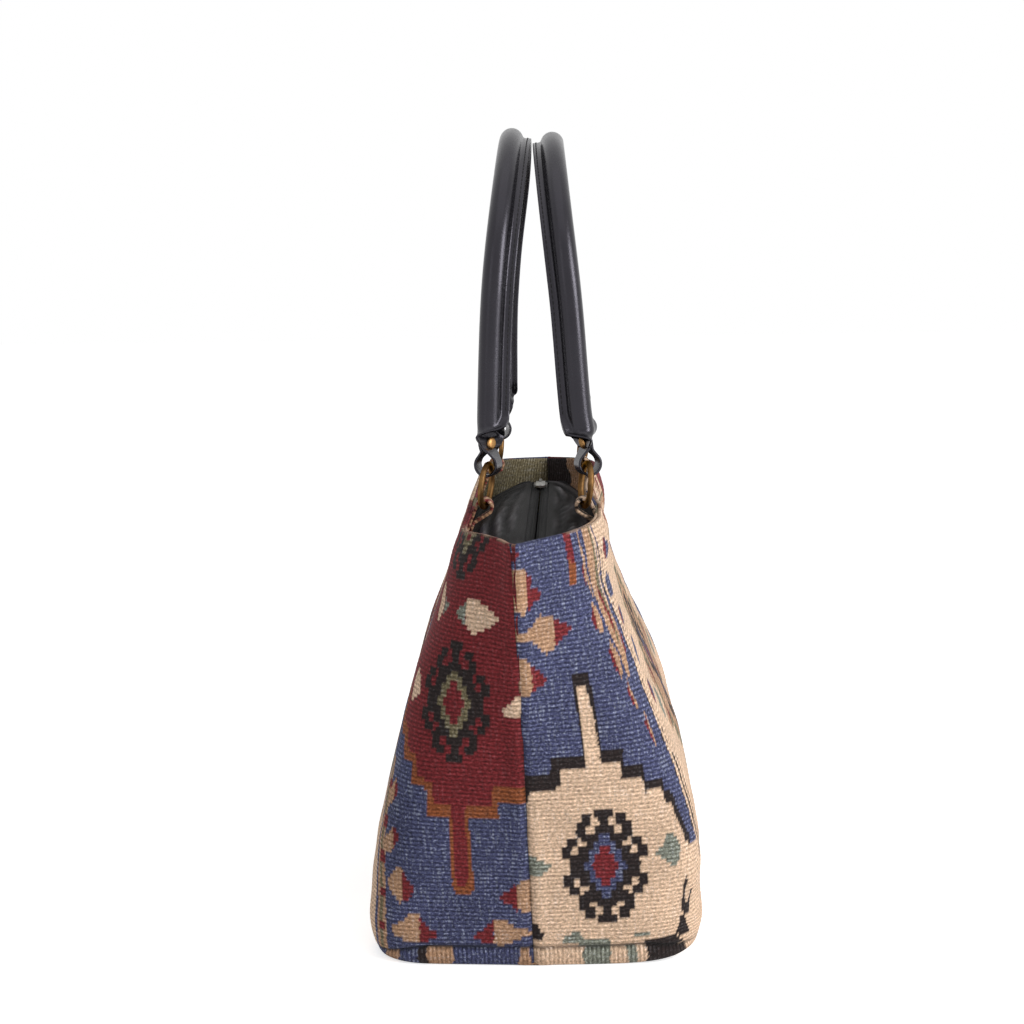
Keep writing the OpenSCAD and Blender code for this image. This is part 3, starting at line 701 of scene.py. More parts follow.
PALE_END = [
    ("blue", band(-300, 0, 290, -60)),
    ("red", [(37.5, 290), (38, 257), (43.5, 255), (44, 290)]),
    ("orange", [(38.5, 257), (37.5, 242), (43.5, 241), (44.5, 256)]),
    ("tan", [(-3, 258.5), (8, 257), (9, 236.5), (6, 229.5), (-3, 231.5)]),
    ("red", [(8.5, 255), (12.5, 251), (10.5, 246), (15, 244), (19, 239), (12, 235.5), (9.5, 231.5),
             (8.5, 232.5)]),
    ("red", [(-3, 270.5), (3, 269), (5, 266), (2, 264.5), (-3, 264.5)]),
    ("tan", [(-5, 222), (2.5, 219), (6, 218), (10, 221.5), (16, 227.5), (23, 226), (25, 224.5),
             (24, 206.5), (18, 203),
             (13, 209), (7, 214), (1.5, 213), (-5, 212)]),
    ("red", [(25, 224.5), (29.5, 221.5), (36, 217.5), (36, 215.5), (29, 211.5), (24, 206.5)]),
    ("tan", [(-5, 202), (4.5, 202), (7.5, 197), (8, 181.5), (4, 177.5), (-5, 181.5)]),
    ("red", [(7.5, 198), (11.5, 194), (17.5, 188.5), (17, 185.5), (11.5, 183.5), (8, 179.5)]),
    ("tan", [(50, 290), (50, 266), (51.5, 262), (52.5, 248), (55.5, 240), (57, 231), (54, 238),
             (50.5, 247), (49.5, 266)]),
    ("red", [(49, 260), (50, 250), (53.5, 238), (52, 239), (49, 248)]),
    ("tan", [(53.5, 231), (57, 224), (60, 216), (59.5, 209), (57, 211), (55, 214), (53.5, 222)]),
    ("red", [(51, 218), (53.5, 226), (55, 220), (55.7, 212), (53, 215)]),
    ("tan", [(63, 206.5), (66, 201), (69.5, 194), (69.8, 186), (67.5, 182), (65, 188), (63, 198)]),
    ("red", [(61, 198), (63, 201), (66, 188), (67, 182.5), (63, 189)]),
    ("tan", [(71.5, 183), (74, 173), (76.7, 162), (75, 161), (72.5, 170)]),
    ("red", [(69.8, 175), (71.8, 177), (75.3, 161.5), (72.5, 166)]),
    ("tan", [(80, 161), (83, 151), (85.5, 140), (84, 139.5), (81, 150)]),
    ("red", [(79, 153), (80.5, 157), (84, 140), (81.5, 145)]),
    ("tan", [(53.5, 290), (54, 262), (54.5, 250), (57, 238), (60, 225), (63, 215), (67, 205), (71, 195),
             (72.5, 185),
             (74, 180), (76.5, 180), (77.5, 194), (76, 206), (73, 215), (70.5, 225), (66.5, 236),
             (63.5, 250), (61.5, 262),
             (61, 290)]),
    ("olive", [(60.5, 290), (61, 256), (62, 242), (65, 231), (67, 221), (70, 210), (72.5, 199), (74, 199),
               (72, 210),
               (70, 221), (67.5, 231), (65, 243), (63.7, 256), (63.5, 290)]),
    ("red", [(62, 237), (64.3, 235), (66.3, 227), (67.7, 221), (65, 222), (63, 228)]),
    ("red", [(66.5, 222), (69.3, 220), (71, 213), (70.5, 207), (68.5, 212)]),
    ("red", [(76.5, 208), (79, 204), (80, 196), (78.7, 192), (77, 198)]),
    ("beige", [(63.6, 290), (64, 258), (66, 246), (70, 232), (72, 224), (70.8, 224), (68, 233),
               (64.8, 246), (63, 258)]),
    ("beige", band(-4.6, -2.8, 290, 246)),
    ("black", [(-5, -5), (-5, 127), (15.5, 127), (16.5, 137), (36, 138.5), (34.5, 162), (32.5, 188),
               (44, 188),
               (46.5, 162), (47.5, 141), (60.5, 142), (60.5, 130), (72.5, 130), (73, 121), (84.5, 121),
               (85.5, 112),
               (91.5, 110), (94, 102), (97, 96), (100, 89), (102, 84), (105, 83), (105, -5)]),
    ("beige", [(-5, -60), (-5, 109), (2, 109), (2, 117.5), (21.5, 118.5), (22, 130), (37, 130), (36.5, 152.5),
               (35, 180.5), (41, 181.5), (44.5, 162), (46.5, 133), (58.5, 132), (58.5, 123), (71, 123),
               (72.5, 113),
               (83.5, 113.5), (85.5, 104.5), (90, 103), (93, 95), (97, 87), (100, 77), (105, 75), (150, 75),
               (180, -60)]),
    *[("black", band(-3.2, -1.4, 262 - 7 * k, 258 - 7 * k)) for k in range(26)],
    *[("black", band(1.0, 2.5, 259 - 7 * k, 255 - 7 * k)) for k in range(18)],
    ("beige", band(-1.4, 1.2, 290, 62)),
    ("black", band(1.4, 4.0, 131, 62)), ("black", band(7.5, 9.0, 128, 62)),
    *hooked((46.5, 66.3), (0.995, 0.935), "black", "blue", "red"),
    ("green", [(-4.5, 77), (5.5, 73), (13.5, 68), (13.5, 66), (6.5, 61.5), (-4, 59.5)]),
    ("green", [(77.5, 74), (82.5, 78), (86, 86), (88.5, 86), (92, 81.5), (95, 76), (94, 68), (91, 63),
               (86.5, 65.5),
               (82.5, 70), (78, 71)]),
    ("green", [(17, 18), (24, 23), (29, 23), (32, 18.5), (47.5, 18), (47.5, 11.5), (39.5, 8.5),
               (32, 11.5), (28, 15),
               (20, 16.5)]),
    ("green", [(59, 18), (65, 21), (71, 21), (74.5, 18)]),
    ("black", [(-4.5, 30.5), (2.5, 30.5), (4.5, 26.5), (4.5, 24), (7.5, 23), (6.5, 19.5), (2.5, 18),
               (-4.5, 18)]),
    ("black", [(97.5, 53), (99.5, 55.5), (101.5, 51), (100, 48), (98.5, 40), (103, 36), (106, 47),
               (108, 44), (106, 30),
               (99, 28), (96, 34), (97, 47)]),
    ("black", [(92, 21), (95, 30), (99, 29), (101, 20), (104, 12), (93, 12), (90, 17)]),
    # painted shadow: a dark patch above the cross seam where the front's base corner lifts
    ("black", [(68, 14.5), (78.5, 16), (90, 15), (96, 8), (72.5, 8)]),
    ("red", [(74, 257), (76, 262), (79, 263), (80, 251), (77, 251)]),
    ("blue", [(79, 263), (85, 261), (90, 256), (85, 251), (80, 251)]),
    ("blue", [(76, 238), (80, 241), (88, 240), (93, 232), (87, 226), (80, 226), (77, 231)]),
    ("red", [(87, 214), (89, 219), (92, 219), (92, 207), (89, 208)]),
    ("blue", [(92, 219), (97, 217), (101, 212), (97, 207), (92, 207)]),
    ("blue", [(99, 190), (103, 197), (112, 196), (117, 188), (111, 180), (103, 181)]),
    ("red", [(106, 164), (109, 171), (113, 171), (113, 157), (109, 158)]),
    ("blue", [(113, 171), (119, 168), (123, 164), (119, 159), (113, 157)]),
]

FRONT_MIDDLE = [
    *stepped_field(66, 78, 222, 5, 6, "olive", "tan"),
    *hooked((0, 150), (1.4, 1.25), "black", "blue", "red"),
    *[s for way in (1, -1) for y in (136, 164) for s in arrow((way * 58, y), -way, 12, 18, 8)],
    *[("green", [(way * 74, 150), (way * 82, 159), (way * 88, 161), (way * 93, 150), (way * 88, 139),
                 (way * 82, 141)]) for way in (1, -1)],
    *[s for k in range(3) for way in (1, -1)
      for s in arrow((way * (26 + 44 * k), 12 + 26 * k), way, 20, 22, 12)],
    ("tan", box(-110, 252, 110, 258)), ("olive", box(-110, 258, 110, 262)),
    *[s for way in (1, -1) for x in (24, 62, 98) for s in arrow((way * x, 268), way, 16, 18, 9)],
]

BACK_MIDDLE = [
    *stepped_field(118, 16, 214, 5, 6, "orange", "red"),
    *stepped_field(82, 42, 188, 5, 5, "black", "beige"),
    *hooked((0, 115), (1.45, 1.2), "black", "blue", "red"),
    *[("green", [(way * 84, 115), (way * 92, 124), (way * 99, 127), (way * 105, 115), (way * 99, 103),
                 (way * 92, 106)]) for way in (1, -1)],
    *[s for way in (1, -1) for y in (236, 262) for s in arrow((way * 18, y), -way, 20, 22, 12)],
    *[s for way in (1, -1) for y in (20, 46) for s in arrow((way * 84, y), -way, 20, 22, 12)],
]

FOOT_YARNS = {
    "back": [("blue", -20), ("tan", 2), ("blue", 9), ("tan", 50), ("black", 66), ("blue", 72),
             ("tan", 84), ("blue", 96),
             ("tan", 120), ("blue", 150), ("red", 180)],
    # on the front, the black block from 70 to 98 is painted shadow where the base corner lifts
    "front": [("beige", -20), ("green", 31), ("beige", 47), ("green", 58), ("beige", 64), ("black", 70),
              ("beige", 98),
              ("blue", 130), ("beige", 160), ("red", 190)],
}

FACING_YARNS = {
    "back": [("red", 0), ("black", 42), ("red", 50), ("beige", 58), ("red", 62), ("olive", 118), ("red", 150),
             ("blue", 200), ("tan", 250), ("olive", 292)],
    "front": [("blue", 0), ("red", 40), ("blue", 47), ("tan", 62), ("beige", 78), ("olive", 96),
              ("blue", 130),
              ("beige", 190), ("red", 250), ("beige", 330), ("tan", 372), ("black", 392)],
}


# Where the cross seam of a boxed corner runs out, in distance from the side seam
SEAM_END = (96, 112)


def yarns():
    names = ("red", "blue", "beige", "tan", "black", "orange", "green", "olive")
    return {name: tone_of(name) for name in names}


def paint(side, p, v, whole):
    """Yarn colour of every place on a panel: run p from the left seam, height v up the cloth."""
    yarn = yarns()
    rib = np.floor(v / mm("rib_pitch"))
    p = p + 0.22 * waves(p, rib * 17.3, 5, 9, 30)
    v = (rib + 0.5) * mm("rib_pitch")
    painted = np.broadcast_to(yarn["beige"], (*p.shape, 3)).copy()
    near, far = (PALE_END, RED_END) if side == "front" else (RED_END, PALE_END)
    middle = FRONT_MIDDLE if side == "front" else BACK_MIDDLE
    for place, shapes in ((p - whole / 2, middle), (whole - p, far), (p, near)):
        for name, outline in shapes:
            painted[inside(place, v, outline)] = yarn[name]
    return painted


def paint_foot(painted, p, v, side):
    """The strip under the base seam and the base itself: ribs run the other way, in broken blocks of yarn."""
    yarn = yarns()
    strip = np.zeros_like(painted)
    for name, start in FOOT_YARNS[side]:
        strip[p + 1.2 * waves(p, v, 8, 6, 20) >= start] = yarn[name]
    foot = v < seam_height(p)
    painted[foot] = strip[foot]
    # painted shade along the furrow of the cross seam
    thread = bell(v, seam_height(p), 1.0) * (1 - ease(p, *SEAM_END))
    return painted * (1 - 0.75 * thread[..., None]), foot


def pale_edge(painted, p, v, side):
    """The cloth's own pale edge along the rim, broken where yarn covers it."""
    gap = ease(waves(p, 0 * p, 12, 6, 40), -0.6, 0.4)
    start = 0 if side == "back" else 44
    top = ease(v, mm("rim_height") - 1.1, mm("rim_height") - 0.2)
    edge = 0.6 * top * gap * ease(p, start - 6, start) * (1 - ease(p, 68, 84))
    return painted + (0.85 * tone_of("beige") - painted) * edge[..., None]


def corner_tuck(run, high, sign):
    """How far the front's near base corner is pressed in, and with it the foot of the wide face."""
    press = mm("corner_press") * bell(high, 30, 22) + 2.7 * (1 - ease(high, 4, 30))
    face = 0.55 * ease(run, 90, 140) * (1 - ease(run, 300, 350))
    return press * np.maximum(bell(run, 114, 36), face) * (sign < 0)


def seam_height(p):
    """Height of the boxed corner's cross seam along the run from a side seam."""
    return 12.5 - 8.5 * ease(np.abs(p), 62, 108)


# Operators

class TOTE_OT_panels(bpy.types.Operator):
    """Outer cloth panels with their woven pattern"""
    bl_idname = "tote.panels"
    bl_label = "Outer panels"

    def execute(self, context):
        weave = kept("kilim_weave", kilim_finish)
        inward = np.linspace(0.002, 1, 22)[:-1]
        for side, sign in SIDES.items():
            wall, run, whole, high, end = loft(side, np.linspace(0, 1, 206), column_places(316), 0)
            wall += self.softness(wall, run, end, high, sign)
            base = half_base(wall[0], inward, 3)
            grid = np.concatenate([base, wall])
            p = np.concatenate([np.broadcast_to(run[0], base.shape[:2]), run])
            v = np.concatenate([-(1 - inward[:, None]) * np.abs(wall[0, :, 1]), high])
            total = np.concatenate([np.broadcast_to(whole[0], (len(base), 1)), whole])
            end = np.minimum(p, total - p)
            painted, foot = paint_foot(paint(side, p, v, total), end, v, side)
            painted = pale_edge(painted, p, v, side)
            # painted shade along the groove of each side seam
            painted *= 1 - 0.55 * bell(end, 0, 0.9)[..., None]
            cloth = np.where(foot[..., None], np.stack([v, p], 2), np.stack([p, v], 2))
            made = sewn_sheet(f"{side}_panel_cloth", grid, mm("cloth"), 4, sign > 0, weave, "bag",
                              cloth, painted)
            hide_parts(f"{side}_panel")
        return {"FINISHED"}

    def softness(self, wall, run, end, high, sign):
        """Slow sag, ribs, seam pucker, the cross seam's furrow and the base corner that lifts."""
        out = grid_normals(wall) * -sign
        body = ease(high, 8, 60) * (1 - ease(high, 235, 268)) * ease(end, 4, 40)
        move = mm("sag") * body * waves(run, high, 21 + sign, 70, 150)
        move += 0.3 * ease(high, 4, 30) * waves(run, high, 31 + sign, 18, 40)
        move += np.where(np.arange(len(high)) % 2, 0.07, -0.07)[:, None] * np.ones_like(run)
        pucker = 1 + 0.35 * waves(high, 0 * high, 3, 10, 24)
        move += -1.5 * pucker * bell(end, 0, 1.9) + 0.55 * bell(end, 6, 4.0)
        move += -1.7 * bell(high, seam_height(end), 1.3) * (1 - ease(end, *SEAM_END))
        move += 3.0 * (1 - ease(high, 0, 20)) * (1 - ease(run, 70, 125)) - corner_tuck(run, high, sign)
        shift = out * move[..., None]
        lift = (3.2 if sign < 0 else 0.6) * bell(end, 100, 26) * (1 - ease(high, 2, 34))
        shift[..., 2] = np.where(high < 3, np.maximum(shift[..., 2], 0), shift[..., 2]) + lift
        return shift


class TOTE_OT_facings(bpy.types.Operator):
    """Cloth facings inside the rim"""
    bl_idname = "tote.facings"
    bl_label = "Facings"

    def execute(self, context):
        weave = kept("kilim_weave", kilim_finish)
        yarn = yarns()
        shares, parts = np.linspace(facing_foot(), 1, 33), np.linspace(0.0004, 0.9996, 281)
        for side, sign in SIDES.items():
            wall, run, _, high, _ = loft(side, shares, parts, mm("cloth") + mm("facing"))
            move = 0.35 * waves(run, high, 41 + sign, 25, 60) * (1 - ease(high, 264, 272))
            move += 0.08 * np.where(np.arange(run.shape[1]) % 2, 1, -1)[None]
            wall = wall + grid_normals(wall) * sign * np.minimum(move, 0.4)[..., None]
            wall[..., 2] -= 0.9 * ease(high, 264, 273)
            ragged = run + 3 * waves(run, high * 2.2, 9, 14, 50) + 6 * waves(high, 0 * high, 10, 12, 40)
            painted = np.zeros((*run.shape, 3))
            for name, start in FACING_YARNS[side]:
                painted[ragged >= start] = yarn[name]
            painted[ragged < 0] = yarn[FACING_YARNS[side][0][0]]
            painted = pale_edge(painted, run, high, side)
            made = sewn_sheet(f"{side}_facing_cloth", wall, mm("facing") - 0.15, 4, sign < 0, weave, "bag",
                              np.stack([high, run], 2), painted)
            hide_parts(f"{side}_facing")
        return {"FINISHED"}


class TOTE_OT_linings(bpy.types.Operator):
    """Thin lining bag under the closure"""
    bl_idname = "tote.linings"
    bl_label = "Linings"

    def execute(self, context):
        thin = twill_finish("lining_weave", colours().lining, 500.0)
        shares, parts = np.linspace(0.011, facing_foot() - 0.004, 60), np.linspace(0.0006, 0.9994, 110)
        for side, sign in SIDES.items():
            wall, run, _, high, end = loft(side, shares, parts, mm("cloth") + 0.5)
            slack = ease(high, 10, 60) * (1 - ease(high, 190, 226)) * ease(end, 6, 40)
            inset = slack * (2.2 + 1.4 * waves(run, high, 51 + sign, 40, 90))
            inset += 1.1 * corner_tuck(run, high, sign)
            wall = wall + grid_normals(wall) * sign * inset[..., None]
            grid = np.concatenate([half_base(wall[0], np.linspace(0.004, 1, 16)[:-1], 0), wall])
            made = sewn_sheet(f"{side}_lining_cloth", grid, mm("lining") - 0.3, 2, sign > 0, thin, "bag")
            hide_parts(f"{side}_lining")
        return {"FINISHED"}


class TOTE_OT_closure(bpy.types.Operator):
    """Black closure cloth beside the zip, with its lengthwise creases"""
    bl_idname = "tote.closure"
    bl_label = "Closure"
    zip_height = 257.0
    slot_end = 170.5
    slot_half = 6.5
    closure_t = 1.2

    def execute(self, context):
        twill = twill_finish("closure_twill", colours().closure, 420.0, crease_light_and_shade=True)
        inset = mm("cloth") + mm("facing") + 0.5
        seam = facing_foot()
        for side, sign in SIDES.items():
            line, _ = plan(seam, inset, sign)
            reach = line[-1, 0] - 6
            xs = np.linspace(-reach, reach, 240)
            steps = np.linspace(0, 1, 34)
            grid = np.zeros((len(steps), len(xs), 3))
            for i, x in enumerate(xs):
                grid[:, i] = self.profile(x, seam, inset, sign, steps)
            cross = run_along(grid)
            fold, hold = self.creases(xs[None] + 0 * cross, cross, steps, sign)
            grid[..., 2] += hold * (fold - 2.6)
            # painted light and shade: lighter on the raised folds, darker in the valleys between them
            crease_light_and_shade = 0.4 + 11 * hold * ease(fold, 0.5, 3.6) ** 1.8
            made = sewn_sheet(f"{side}_closure_cloth", grid, self.closure_t - 0.2, 2, sign > 0, twill, "bag",
                              None, tone_of("closure") * crease_light_and_shade[..., None])
            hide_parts(f"{side}_zip_panel")
        return {"FINISHED"}

    def profile(self, x, seam, inset, sign, steps):
        """One crosswise line of the closure, from the facing's lower edge up to the zip."""
        end_lift = self.zip_height - self.closure_t - 6 - seam * mm("rim_height")
        lift = 2 + end_lift * (abs(x) / self.slot_end) ** 4
        share = min(0.97, seam + lift / mm("rim_height"))
        line, _ = plan(share, inset, sign)
        wall_y = np.interp(x, line[:, 0], line[:, 1])
        edge = self.slot_half if abs(x) < self.slot_end else 0.3
        flat = edge + min(5, 0.4 * (wall_y - edge))
        wall_z = min(self.zip_height, share * rim_z(x))
        bent = 0.86
        rise = np.minimum(steps / bent, 1)
        y = np.where(steps < bent, wall_y + (flat - wall_y) * rise,
                     flat + (edge - flat) * (steps - bent) / (1 - bent))
        z = wall_z + (self.zip_height - wall_z) * np.sin(math.pi / 2 * rise)
        return np.stack([x + 0 * y, sign * y, z], 1)

    def creases(self, x, cross, steps, sign):
        """Lengthwise folds where the slack cloth gathers along the zip."""
        hold = (ease(steps, 0, 0.25) * (1 - ease(steps, 0.74, 0.92)))[:, None]
        slow = 2.4 * np.abs(waves(x * 0.1, cross, 61 + sign, 11, 22, 5))
        fine = 0.9 * np.abs(waves(x * 0.16, cross, 71 + sign, 5, 10, 6))
        return slow + fine, hold


class TOTE_OT_zip(bpy.types.Operator):
    """Zip tapes, teeth, stops, slider and pull"""
    bl_idname = "tote.zip"
    bl_label = "Zip"

    def execute(self, context):
        tape = twill_finish("zip_tape_weave", 0.6 * tone_of("closure"), 900.0)
        teeth = plastic_finish("zip_tooth_plastic", colours().teeth)
        nickel = metal_finish("zip_nickel", tone_of("nickel"), 0.6 * tone_of("nickel"), 0.2, (0.9, 0.9, 0.9))
        for side in SIDES:
            dress(f"{side}_zip_tape", tape)
            dress(f"{side}_zip_teeth", teeth)
        for node in ("zip_stops", "zip_slider", "zip_pull"):
            dress(node, nickel)
        return {"FINISHED"}


class TOTE_OT_rings(bpy.types.Operator):
    """Brass rings and the cloth loops that hold them"""
    bl_idname = "tote.rings"
    bl_label = "Rings and loops"
    loop_half = 5.4
    tail = 20.0
    cloth = 1.9
    # the wall's lean in degrees, and the bore round the ring's wire with its place off the rim
    lean = 21.0814
    bore, out, rise = 3.859, 5.609, 4.0
    tones = {"front": ("beige", "black"), "back": ("tan", "red")}

    def execute(self, context):
        brass = metal_finish("aged_brass", colours().brass, colours().brass_dark, 0.42, (0.6, 0.45, 0.3))
        weave = kept("kilim_weave", kilim_finish)
        yarn = yarns()
        for side, sign in SIDES.items():
            for end, way in ENDS.items():
                dress(f"{side}_{end}_ring", brass)
                grid, run = self.strip(way, sign)
                across = np.linspace(-self.loop_half, self.loop_half, grid.shape[1])[None] + 0 * run
                tone = 0.5 + 0.5 * np.sin(run * 1.25 + 0.5 * across + way)
                first, second = (yarn[name] for name in self.tones[side])
                painted = first + (second - first) * ease(tone, 0.5, 0.8)[..., None]
                made = sewn_sheet(f"{side}_{end}_loop_cloth", grid, self.cloth, 2, sign * way < 0, weave,
                                  "bag", np.stack([across, run], 2), painted)
                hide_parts(f"{side}_{end}_loop")
        return {"FINISHED"}

    def strip(self, way, sign):
        """The bore-side face of a folded strip: up the wall, over the ring's wire and down beside itself."""
        span, lean = mm("handle_half_span"), math.radians(self.lean)
        line, _ = plan(1, mm("cloth") + mm("facing"), 0)
        wall = np.interp(span, line[:, 0], line[:, 1])
        turn = np.linspace(0, math.radians(205), 26)
        path = np.vstack([
            np.stack([np.full(14, self.bore - self.out), np.linspace(-self.tail, self.rise, 15)[:-1]], 1),
            np.stack([self.bore * np.cos(turn) - self.out, self.bore * np.sin(turn) + self.rise], 1),
            np.stack([np.linspace(-7.6, -1.95, 8)[1:], np.linspace(0.6, -7, 8)[1:]], 1),
            np.stack([np.full(8, -1.9), np.linspace(-7, -self.tail, 9)[1:]], 1)])
        waist = self.loop_half * (1 - 0.16 * bell(path[:, 1], -5, 4))
        x = waist[:, None] * np.linspace(-1, 1, 15)[None]
        u, v = path[:, 0][:, None] + 0 * x, path[:, 1][:, None] + 0 * x
        y = wall + u * math.cos(lean) - v * math.sin(lean)
        z = rim_z(span) + u * math.sin(lean) + v * math.cos(lean)
        return np.stack([way * (span + x), sign * y, z], 2), run_along(path)[:, None] + 0 * x


class TOTE_OT_handles(bpy.types.Operator):
    """Rolled leather handles with stitched flanges, folded tongues and rivets"""
    bl_idname = "tote.handles"
    bl_label = "Handles"
    fold_bore = 6.0
    fold_neck = 9.2
    rivet_up = 13.215
    tongue_tip = 21.515
    tongue_half = 7.0
    roll_ends = {"front": 21.0, "back": 25.5}
    neck = 10.2
    # how the legs bow outward: just above the rings, higher up, the share lost at the top, the leg's stretch,
    # and how much more the right leg bows
    bows = {"front": (-1.6, 0.4, 1.0, 0.997, 0.6), "back": (0.8, 3.0, 0.9, 1.008, 1.7)}
    # place of each handle's own frame, its inward lean in degrees, and its tongues' turn at rivet and ring
    seats = {"front": ((33.6753, 306.9037), 5.93373, (24, 17)),
             "back": ((28.1144, 306.9037), 4.33418, (-40, -17))}

    def execute(self, context):
        hide = kept("satin_leather", leather_finish)
        thread = twill_finish("waxed_thread", colours().thread, 1500.0, 0.5)
        brass = metal_finish("rubbed_brass", 2.4 * tone_of("brass"), tone_of("brass"), 0.3, (0.8, 0.7, 0.55))
        cord = cord_finish()
        for side, sign in SIDES.items():
            body = f"{side}_handle"
            grid = self.place(self.leather(side), side)
            made = sewn_sheet(f"{side}_handle_leather", grid, mm("leather"), 1, sign > 0, hide, body)
            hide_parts(f"{side}_handle")
            points, faces = self.stitches(side)
            sewing = piece(f"{side}_handle_stitching", self.place(points, side), faces, thread, body)
            points, faces = self.rivets(side)
            caps = piece(f"{side}_rivet_caps", self.place(points, side), faces, brass, body)
            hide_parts(f"{side}_rivets")
            points, faces = self.cord()
            core = piece(f"{side}_cord_filling", self.place(points, side), faces, cord, body)
            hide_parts(f"{side}_handle_cord")
            for closed in (sewing, caps, core):
                turn_out(closed.data)
        return {"FINISHED"}

    def place(self, points, side):
        """From a handle's own frame, with the ring tops on its X axis, to the bag's frame."""
        (seat_y, seat_z), lean, _ = self.seats[side]
        lean = math.radians(lean)
        x, y, z = np.moveaxis(np.asarray(points, float), -1, 0)
        foot, leg, lost, reach, right = self.bows[side]
        y = y + right * ease(x, 0, 100) * ease(z, 10, 96) * (1 - ease(z, 120, 200))
        y = y + foot * ease(z, 4, 34) * (1 - ease(z, 30, 110))
        y = y + leg * ease(z, 8, 104) * (1 - lost * ease(z, 104, 200))
        z = z * reach
        return np.stack([x, SIDES[side] * (seat_y + y * math.cos(lean) - z * math.sin(lean)),
                         seat_z + y * math.sin(lean) + z * math.cos(lean)], -1)

    def half_section(self):
        """Half of the roll's outer outline, from its outward side round to the flange's edge."""
        r, ply, flange = mm("roll"), mm("leather"), mm("flange")
        turn = np.linspace(0, 2.72, 40)
        arc = np.stack([r * np.sin(turn), r * np.cos(turn)], 1)
        line = np.vstack([arc, bend(arc[-1], [ply, -r], [ply, -r - 1.2], 12), [[ply, -r - flange]]])
        return line, run_along(line)

    def leather(self, side):
        """Grid of the sheet's grain side, from a tongue's tip round the ring, up the roll, over and down."""
        straight = mm("handle_rise") - mm("handle_half_span")
        heights = np.r_[np.linspace(self.neck, 31, 24), np.linspace(34, straight - 2, 14)]
        right = np.array(self.tongue(side)[::-1] + [self.opening(z, side) for z in heights])
        return np.concatenate([right, self.arch(), right[::-1] * [-1, 1, 1]])

    def across(self):
        return np.linspace(-1, 1, 61)

    def section_at(self, half, open_share, lateral):
        """A cross line of the sheet: closed roll blended towards a flat strip."""
        line, run = self.half_section()
        s = np.abs(self.across()) * half
        way = np.sign(self.across())
        closed = np.stack([way * np.interp(s, run, line[:, 0]), np.interp(s, run, line[:, 1])], 1)
        radius = mm("roll") * (1 + 14 * open_share ** 2)
        opened = np.stack([way * radius * np.sin(s / radius), lateral - radius * (1 - np.cos(s / radius))], 1)
        return closed + (opened - closed) * open_share

    def opening(self, z, side):
        """A line of the right leg: the roll parts on its inner side and narrows to the tongue."""
        _, run = self.half_section()
        roll_end = self.roll_ends[side]
        part = 1 - float(ease(z, self.neck + 3, roll_end + 2))
        taper = float(np.clip((z - self.neck) / (roll_end - self.neck), 0, 1))
        half = self.tongue_half + 1.2 + (run[-1] - self.tongue_half - 1.2) * taper ** 1.4
        lateral = mm("roll") * (1 - part)
        line = self.section_at(half, part, lateral)
        points = np.stack([line[:, 0], line[:, 1], np.full(len(line), z)], 1)
        return self.turned(points, side)

    def turned(self, points, side):
        """Turns the tongue about the leg, most at the rivet, and stands it on the right leg."""
        at_rivet, at_ring = self.seats[side][2]
        z = points[:, 2]
        turn = np.radians(at_ring + (at_rivet - at_ring) * ease(z, 6, 13)) * (1 - ease(z, 20, 34))
        turn = -turn * SIDES[side]
        x = points[:, 0] * np.cos(turn) - points[:, 1] * np.sin(turn)
        y = points[:, 0] * np.sin(turn) + points[:, 1] * np.cos(turn)
        return np.stack([x + mm("handle_half_span"), y, z], 1)

    def tongue(self, side):
        """Lines of the right tongue, from the neck down round the ring and up to the tip."""
        start = math.acos(self.fold_bore / self.fold_neck)
        turn = np.linspace(start, 2 * math.pi - start, 30)
        path = np.vstack([
            np.stack([[-0.15, -0.5, -1.6], self.fold_neck + np.array([0.6, 0, -1.6])], 1),
            np.stack([-self.fold_bore * np.sin(turn), self.fold_bore * np.cos(turn)], 1),
            np.stack([[1.6, 0.5], [self.fold_neck - 1.6, self.fold_neck]], 1),
            np.stack([np.full(9, 0.06), np.linspace(self.fold_neck + 2, self.tongue_tip, 9)], 1)])
        lines = []
        for k, (y, z) in enumerate(path):
            back = k > len(path) - 10
            tip = np.clip((z - (self.tongue_tip - 6)) / 6, 0, 0.97) if back else 0
            half = (self.tongue_half - 1.9 + 3.1 * float(ease(z, 4, 10))) * math.sqrt(1 - tip ** 2)
            points = np.stack([self.across() * half, np.full(61, y), np.full(61, z)], 1)
            lines.append(self.turned(points, side))
        return lines

    def arch(self):
        """Lines of the roll over the top."""
        line = self.section_at(self.half_section()[1][-1], 0.0, mm("roll"))
        radius, centre = mm("handle_half_span"), mm("handle_rise") - mm("handle_half_span")
        lines = []
        for turn in np.linspace(0, math.pi, 91):
            reach = radius + line[:, 0]
            lines.append(np.stack([reach * math.cos(turn), line[:, 1], centre + reach * math.sin(turn)], 1))
        return np.array(lines)

    def stitches(self, side):
        """Short raised stitches along both sides of the flange."""
        radius, centre = mm("handle_half_span"), mm("handle_rise") - mm("handle_half_span")
        low, pitch = self.roll_ends[side] + 3, mm("stitch_pitch")
        leg = centre - low
        points, faces = [], []
        ring = np.linspace(0, 2 * math.pi, 7)[:-1]
        profile = [(-0.5, 0.12), (-0.36, 0.42), (0.0, 0.52), (0.36, 0.42), (0.5, 0.12)]
        for k in range(int((2 * leg + math.pi * radius) / pitch)):
            for way in (1, -1):
                faces += tube_faces(len(points), len(profile), len(ring))
                for share, thick in profile:
                    at = (k + 0.5 + 0.82 * share) * pitch
                    for angle in ring:
                        off = way * (mm("leather") + 0.1 + 0.6 * thick * math.cos(angle))
                        b = -mm("roll") - 2.9 + 0.8 * thick * math.sin(angle)
                        points.append(self.on_path(at, leg, radius, centre, low, off, b))
        return np.array(points), faces

